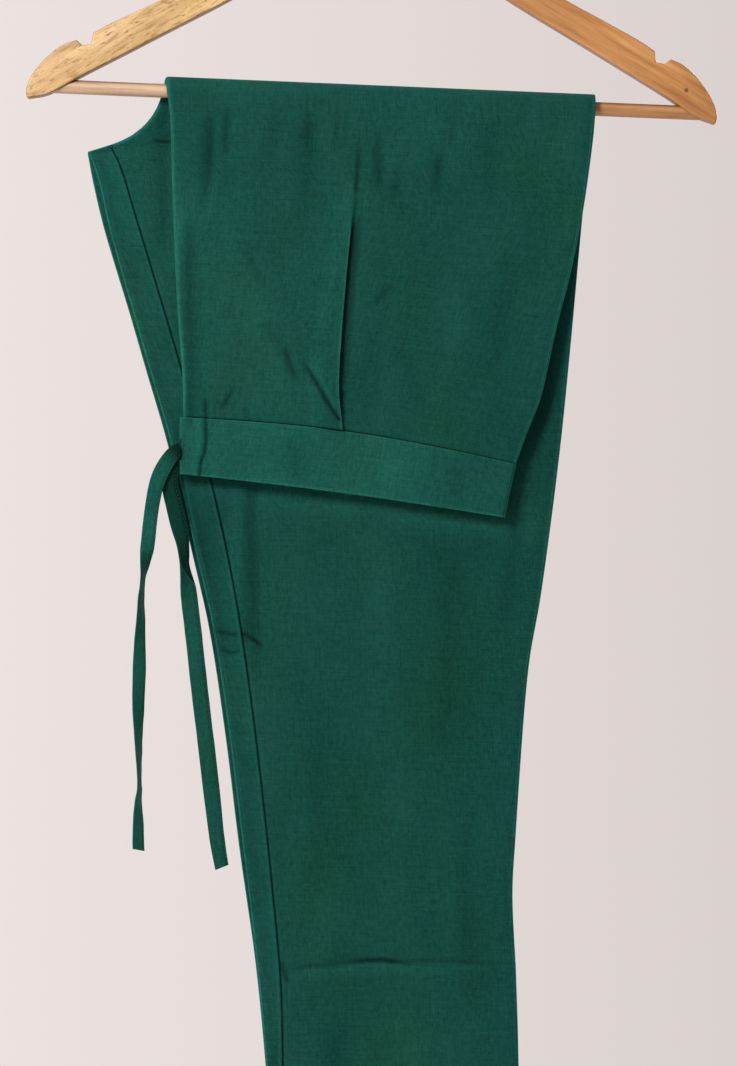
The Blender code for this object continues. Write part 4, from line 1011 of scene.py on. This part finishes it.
# The hanger: two arms, the rod and the hook. An arm's outline is x from the middle and up from the hook's
# inner top, and each arm has its own small difference in height along x.
arm = {
    "thickness": 12.0, "round": 2.6, "fromMiddle": 0.15,
    "outline": [
        (0, -58.0), (14, -60.0), (32, -69.0), (60, -86.0), (90, -104.0), (120, -121.2), (145, -133.8),
        (171, -147.2), (181.0, -153.4), (182.0, -160.6), (187.5, -161.6), (191.5, -158.4), (199.0, -161.6),
        (207.5, -168.4), (215.5, -178.0), (220.5, -186.5), (222.7, -194.6), (222.0, -199.4), (208.0, -194.4),
        (190.0, -182.9), (162.0, -166.8), (130.0, -148.6), (96.0, -129.6), (62.0, -109.6), (30.0, -91.6),
        (12.0, -84.0), (0, -82.6),
    ],
    "sharp": (0, 8, 9, 10, 11, 17, 26),
    "armLeft": [(0, 0), (60, -1.0), (110, -2.2), (190, -2.2), (212, -1.0), (223, 0.4)],
    "armRight": [(0, 0), (100, 0.5), (190, 1.4), (223, 2.0)],
}
chip = {"at": (-133.5, -8.6, -131.5), "half": (9.5, 4.2, 4.6), "lumps": 0.12, "seed": 31}
peg = {"at": (202.2, -5.65, -176.6), "radius": 1.4, "length": 1.2, "sides": 20, "round": 0.3}
rod = {"radius": 4.5, "half": 211.5, "sides": 64, "round": 0.6, "bore": {"room": 0.25, "sides": 48}}
hook = {
    "wire": 3.6, "inner": 19.0, "stemFoot": -74.0, "stemTop": -52.0, "reach": 9.0,
    "from": math.radians(-50), "to": math.radians(205), "bore": {"length": 40.0, "sides": 24, "middle": 19.7},
}
rodMiddle = (0, 0, -hanging["rodDown"])


def smoothOutline(corners, sharp, steps=5):  # rounds the line between its sharp corners
    points = []
    count = len(corners)
    for i in range(count):
        before, a, b, after = (np.array(corners[(i + k) % count], float) for k in (-1, 0, 1, 2))
        leave = (b - a) if i in sharp else (b - before) / 2
        arrive = (b - a) if (i + 1) % count in sharp else (after - a) / 2
        leave, arrive = (unit(way) * np.linalg.norm(b - a) for way in (leave, arrive))
        points += [hermite(k / steps, a, b, leave, arrive) for k in range(steps)]
    return np.array(points)


def turnedCylinder(name, radius, length, sides, centre, along):
    deselect()
    bpy.ops.mesh.primitive_cylinder_add(vertices=sides, radius=radius * mm, depth=length * mm)
    piece = bpy.context.object
    piece.name = piece.data.name = name
    x, y, z = np.array([v.co for v in piece.data.vertices], np.float64).T / mm
    turned = {"x": (z, y, -x), "y": (x, z, -y), "z": (x, y, z)}[along]
    setPoints(piece, toWorld(np.stack(turned, 1) + np.array(centre)))
    return piece


def cutWith(piece, cutter):
    cut = piece.modifiers.new("cut", "BOOLEAN")
    cut.object, cut.operation, cut.solver = cutter, "DIFFERENCE", "EXACT"
    applyAll(piece)
    pick(cutter)
    bpy.ops.object.delete()


def makeChip():
    deselect()
    bpy.ops.mesh.primitive_ico_sphere_add(subdivisions=3, radius=1)
    cutter = bpy.context.object
    co = np.array([v.co for v in cutter.data.vertices])
    co *= (1 + chip["lumps"] * softNoise(co[:, 0] * 9, co[:, 2] * 9, 4, 4, chip["seed"]))[:, None]
    setPoints(cutter, toWorld(co * np.array(chip["half"]) + np.array(chip["at"])))
    return cutter


def makeArm(name, side, material, node):
    points = smoothOutline(arm["outline"], arm["sharp"])
    points[:, 1] += through(arm[name], points[:, 0])
    deselect()
    bpy.ops.mesh.primitive_circle_add(vertices=len(points), radius=1, fill_type="NGON")
    piece = bpy.context.object
    piece.name = piece.data.name = name
    level = np.stack([side * (points[:, 0] + arm["fromMiddle"]), np.full(len(points), -arm["thickness"] / 2),
                      points[:, 1]], 1)
    setPoints(piece, toWorld(level))
    pick(piece)
    toMode("EDIT")
    bpy.ops.mesh.select_all(action="SELECT")
    bpy.ops.mesh.extrude_region_move(TRANSFORM_OT_translate={"value": (0, arm["thickness"] * mm, 0)})
    faceOut(piece)
    rounded(piece, arm["round"], 4, 60)
    room = rod["bore"]["room"]
    cutWith(piece, turnedCylinder("rodBore", rod["radius"] + room, 2 * rod["half"] + 0.6,
                                  rod["bore"]["sides"], rodMiddle, "x"))
    bore = hook["bore"]
    cutWith(piece, turnedCylinder("stemBore", hook["wire"] / 2 + room, bore["length"], bore["sides"],
                                  (0, 0, hook["stemFoot"] + bore["middle"]), "z"))
    if side < 0:
        cutWith(piece, makeChip())
    smoothed(piece, 35)
    dress(piece, material, node)


def makeRound(piece, edgeRound, segments, material, node=None):
    rounded(piece, edgeRound, segments, 30)
    smoothed(piece, 35)
    dress(piece, material, node)


def makeHook():
    around = np.linspace(hook["from"], hook["to"], 72)
    radius = hook["inner"] + hook["wire"] / 2
    ring = np.stack([radius * np.cos(around), radius * np.sin(around) - hook["inner"]], 1)
    lean = 3 * hook["reach"] * np.array([-math.sin(hook["from"]), math.cos(hook["from"])])
    stemTop, up = np.array([0, hook["stemTop"]]), np.array([0, 3 * hook["reach"]])
    line = [(0, z) for z in np.linspace(hook["stemFoot"], hook["stemTop"], 12)[:-1]]
    line += [hermite(t, stemTop, ring[0], up, lean) for t in np.linspace(0, 1, 12)[:-1]]
    line += [*ring]
    curve = bpy.data.curves.new("hookWire", "CURVE")
    curve.dimensions, curve.bevel_depth, curve.bevel_resolution = "3D", hook["wire"] / 2 * mm, 5
    curve.use_fill_caps = True
    spline = curve.splines.new("POLY")
    spline.points.add(len(line) - 1)
    for point, place in zip(spline.points, toWorld([(x, 0, z) for x, z in line])):
        point.co = (*place, 1.0)
    wire = bpy.data.objects.new("hookWire", curve)
    bpy.context.scene.collection.objects.link(wire)
    pick(wire)
    bpy.ops.object.convert(target="MESH")
    smoothed(bpy.context.object, 45)
    dress(bpy.context.object, brushedSteel, "hanger_hook")


makeArm("armLeft", -1, goldenWood, "hanger_arm_left")
makeArm("armRight", 1, brownWood, "hanger_arm_right")
makeRound(turnedCylinder("rod", rod["radius"], 2 * rod["half"], rod["sides"], rodMiddle, "x"),
          rod["round"], 3, paleBeech, "hanger_rod")
makeRound(turnedCylinder("pegRight", peg["radius"], peg["length"], peg["sides"], peg["at"], "y"),
          peg["round"], 2, darkPeg)
makeHook()
print("hanger made")


def threadPiece(name, points, faces):
    data = bpy.data.meshes.new(name)
    data.from_pydata([tuple(p) for p in toWorld(np.reshape(points, (-1, 3)))], [], faces)
    data.uv_layers.new(name="cloth")
    piece = bpy.data.objects.new(name, data)
    bpy.context.scene.collection.objects.link(piece)
    faceOut(piece)
    pick(piece)
    bpy.ops.object.shade_smooth()
    dress(piece, greenThread)


# Stitches: one is modelled, and the rest follow it along each line.
stitch = {"length": 1.9, "wide": 0.34, "high": 0.22, "apart": 2.6, "above": 0.05, "tieFrom": 6}


def stitchLine(name, points, normals):
    run = runLength(points)
    at = np.arange(stitch["apart"] / 2, run[-1] - stitch["apart"] / 2, stitch["apart"])
    pickAt = lambda values, where: np.stack([np.interp(where, run, values[:, k]) for k in range(3)], 1)
    middle, normal = pickAt(points, at), pickAt(normals, at)
    along = unit(pickAt(points, at + 0.4) - pickAt(points, at - 0.4))
    normal = unit(normal - along * (normal * along).sum(1)[:, None])
    deselect()
    bpy.ops.mesh.primitive_uv_sphere_add(segments=6, ring_count=5, radius=0.5)
    seed = bpy.context.object
    shape = np.array([v.co for v in seed.data.vertices])
    faces = [list(p.vertices) for p in seed.data.polygons]
    bpy.ops.object.delete()
    scaled = shape[:, [2, 0, 1]] * np.array([stitch["length"], stitch["wide"], stitch["high"]])
    ways = (along, np.cross(along, normal), normal)
    placed = middle[:, None] + sum(way[:, None] * scaled[None, :, k:k + 1] for k, way in enumerate(ways))
    threadPiece(name, placed, [[v + k * len(shape) for v in face] for k in range(len(at)) for face in faces])


# The stitches lie on the cloth's side that points to the wall (1) or to the looker (-1) at this column.
def stitchRow(name, points, row, column, towards, thickness, kept=slice(None)):
    normals = unit(np.cross(np.gradient(points, axis=0), np.gradient(points, axis=1)))
    normals = normals if normals[row, column, 1] * towards > 0 else -normals
    raised = points + normals * (thickness / 2 + stitch["above"])
    stitchLine(name, raised[row][kept], normals[row][kept])


for name, points in bandPoints.items():
    stitchRow(name + "Stitches", points, band["stitchedRow"], band["shownColumn"], -1, band["thickness"])
fromStitch = np.abs(rows["leftDown"] - (cloth["hemDown"] - cloth["hemStitch"]))
stitchedRow = int(np.argmin(np.where(rows["kind"] == 2, fromStitch, np.inf)))
for name, (points, keep) in surface.items():
    stitchRow(name + "HemStitches", points, stitchedRow, panels[name]["shownColumn"], panels[name]["outside"],
              cloth["thickness"], keep[stitchedRow])
for name, (points, facing) in madeTies.items():
    column = int(round(ties[name]["seamShare"] * (ribbon["columns"] - 1)))
    raised = points[:, column] + facing * (ribbon["thickness"] / 2)
    stitchLine(name + "Stitches", raised[stitch["tieFrom"]:], facing[stitch["tieFrom"]:])

# Short loose threads along part of the waistband's lower edge: a tube of three sides for each.
frays = {
    "count": 64, "from": -70.0, "to": 6.0, "long": (0.9, 2.4), "lean": (-1.1, 1.1), "thick": 0.15, "seed": 41,
    "rings": (0.0, 0.35, 0.7, 1.0), "sides": (0.5, 2.6, 4.7),
}


def makeFrays():
    draw = np.random.default_rng(frays["seed"])
    edge = bandPoints["waistbandFront"][-1]
    edge = edge[edge[:, 1] < edge[:, 1].mean()]
    edge = edge[np.argsort(edge[:, 0])]
    x = draw.uniform(frays["from"], frays["to"], frays["count"])
    y, z = np.interp(x, edge[:, 0], edge[:, 1]) - 0.15, np.interp(x, edge[:, 0], edge[:, 2]) + 0.3
    length, lean = (draw.uniform(*frays[key], frays["count"]) for key in ("long", "lean"))
    corners, faces, around = [], [], len(frays["sides"])
    for k in range(frays["count"]):
        for share in frays["rings"]:
            middle = np.array([x[k] + length[k] * math.sin(lean[k] * share) * share, y[k] - 0.3 * share,
                               z[k] - length[k] * share])
            size = frays["thick"] * (1 - 0.6 * share)
            corners += [middle + size * np.array([math.cos(a), math.sin(a), 0]) for a in frays["sides"]]
        first, last = len(corners) - around * len(frays["rings"]), len(corners) - around
        for f in range(first, last, around):
            faces += [[f + i, f + (i + 1) % around, f + around + (i + 1) % around, f + around + i]
                      for i in range(around)]
        faces += [[end + i for i in range(around)] for end in (first, last)]
    threadPiece("looseThreads", corners, faces)


makeFrays()
print("stitches and loose threads made")

# Floor, light and surroundings
floor = {"radius": 1.0, "down": -1.0, "colour": (0.78, 0.74, 0.73, 1.0), "roughness": 0.9}
lights = {
    "keyLight": {"at": (-1.05, -1.28, 0.5), "aim": (0, 0, -0.4), "size": 0.6, "watts": 45,
                 "colour": (1.0, 1.0, 0.98)},
    "rearLight": {"at": (1.6, 2.2, 0.7), "aim": (0, 0, -0.45), "size": 1.2, "watts": 60,
                  "colour": (1.0, 1.0, 1.0)},
}
pale = {
    "colour": (0.774, 0.704, 0.690, 1.0),
    "across": (-0.13, 0.13, 1.11, 0.88), "ahead": (-0.5, 0.6, 0.58, 1.0),  # from, to, and how bright at each
}
deselect()
bpy.ops.mesh.primitive_circle_add(
    vertices=96, radius=floor["radius"], fill_type="NGON", location=(0, 0, floor["down"])
)
ground = bpy.context.object
ground.name = "paleFloor"
floorMaterial, floorShader = newMaterial("paleFloor", floor["roughness"])
floorShader.inputs["Base Color"].default_value = floor["colour"]
ground.data.materials.append(floorMaterial)
for name, light in lights.items():
    deselect()
    bpy.ops.object.light_add(type="AREA", location=light["at"])
    lamp = bpy.context.object
    lamp.name = name
    lamp.data.size, lamp.data.energy, lamp.data.color = light["size"], light["watts"], light["colour"]
    x, y, z = np.array(light["at"]) - np.array(light["aim"])
    lamp.rotation_euler = (math.atan2(math.hypot(x, y), z), 0, math.atan2(y, x) + math.pi / 2)
surroundings = bpy.data.worlds.new("paleSurroundings")
surroundings.use_nodes = True
background = surroundings.node_tree.nodes["Background"]
background.inputs["Color"].default_value = pale["colour"]
direction = add(surroundings, "ShaderNodeSeparateXYZ",
                _0=add(surroundings, "ShaderNodeTexCoord").outputs["Generated"]).outputs
tones = []
for k, key in enumerate(("across", "ahead")):
    span = {"_%d" % (i + 1): limit for i, limit in enumerate(pale[key])}
    tones.append(add(surroundings, "ShaderNodeMapRange", Value=direction[k], **span).outputs[0])
strength = reckon(surroundings, "MULTIPLY", *tones)
fill(surroundings, background.inputs["Strength"], strength)
bpy.context.scene.world = surroundings
bpy.context.scene.view_settings.view_transform = "Standard"
print("stage and light made")
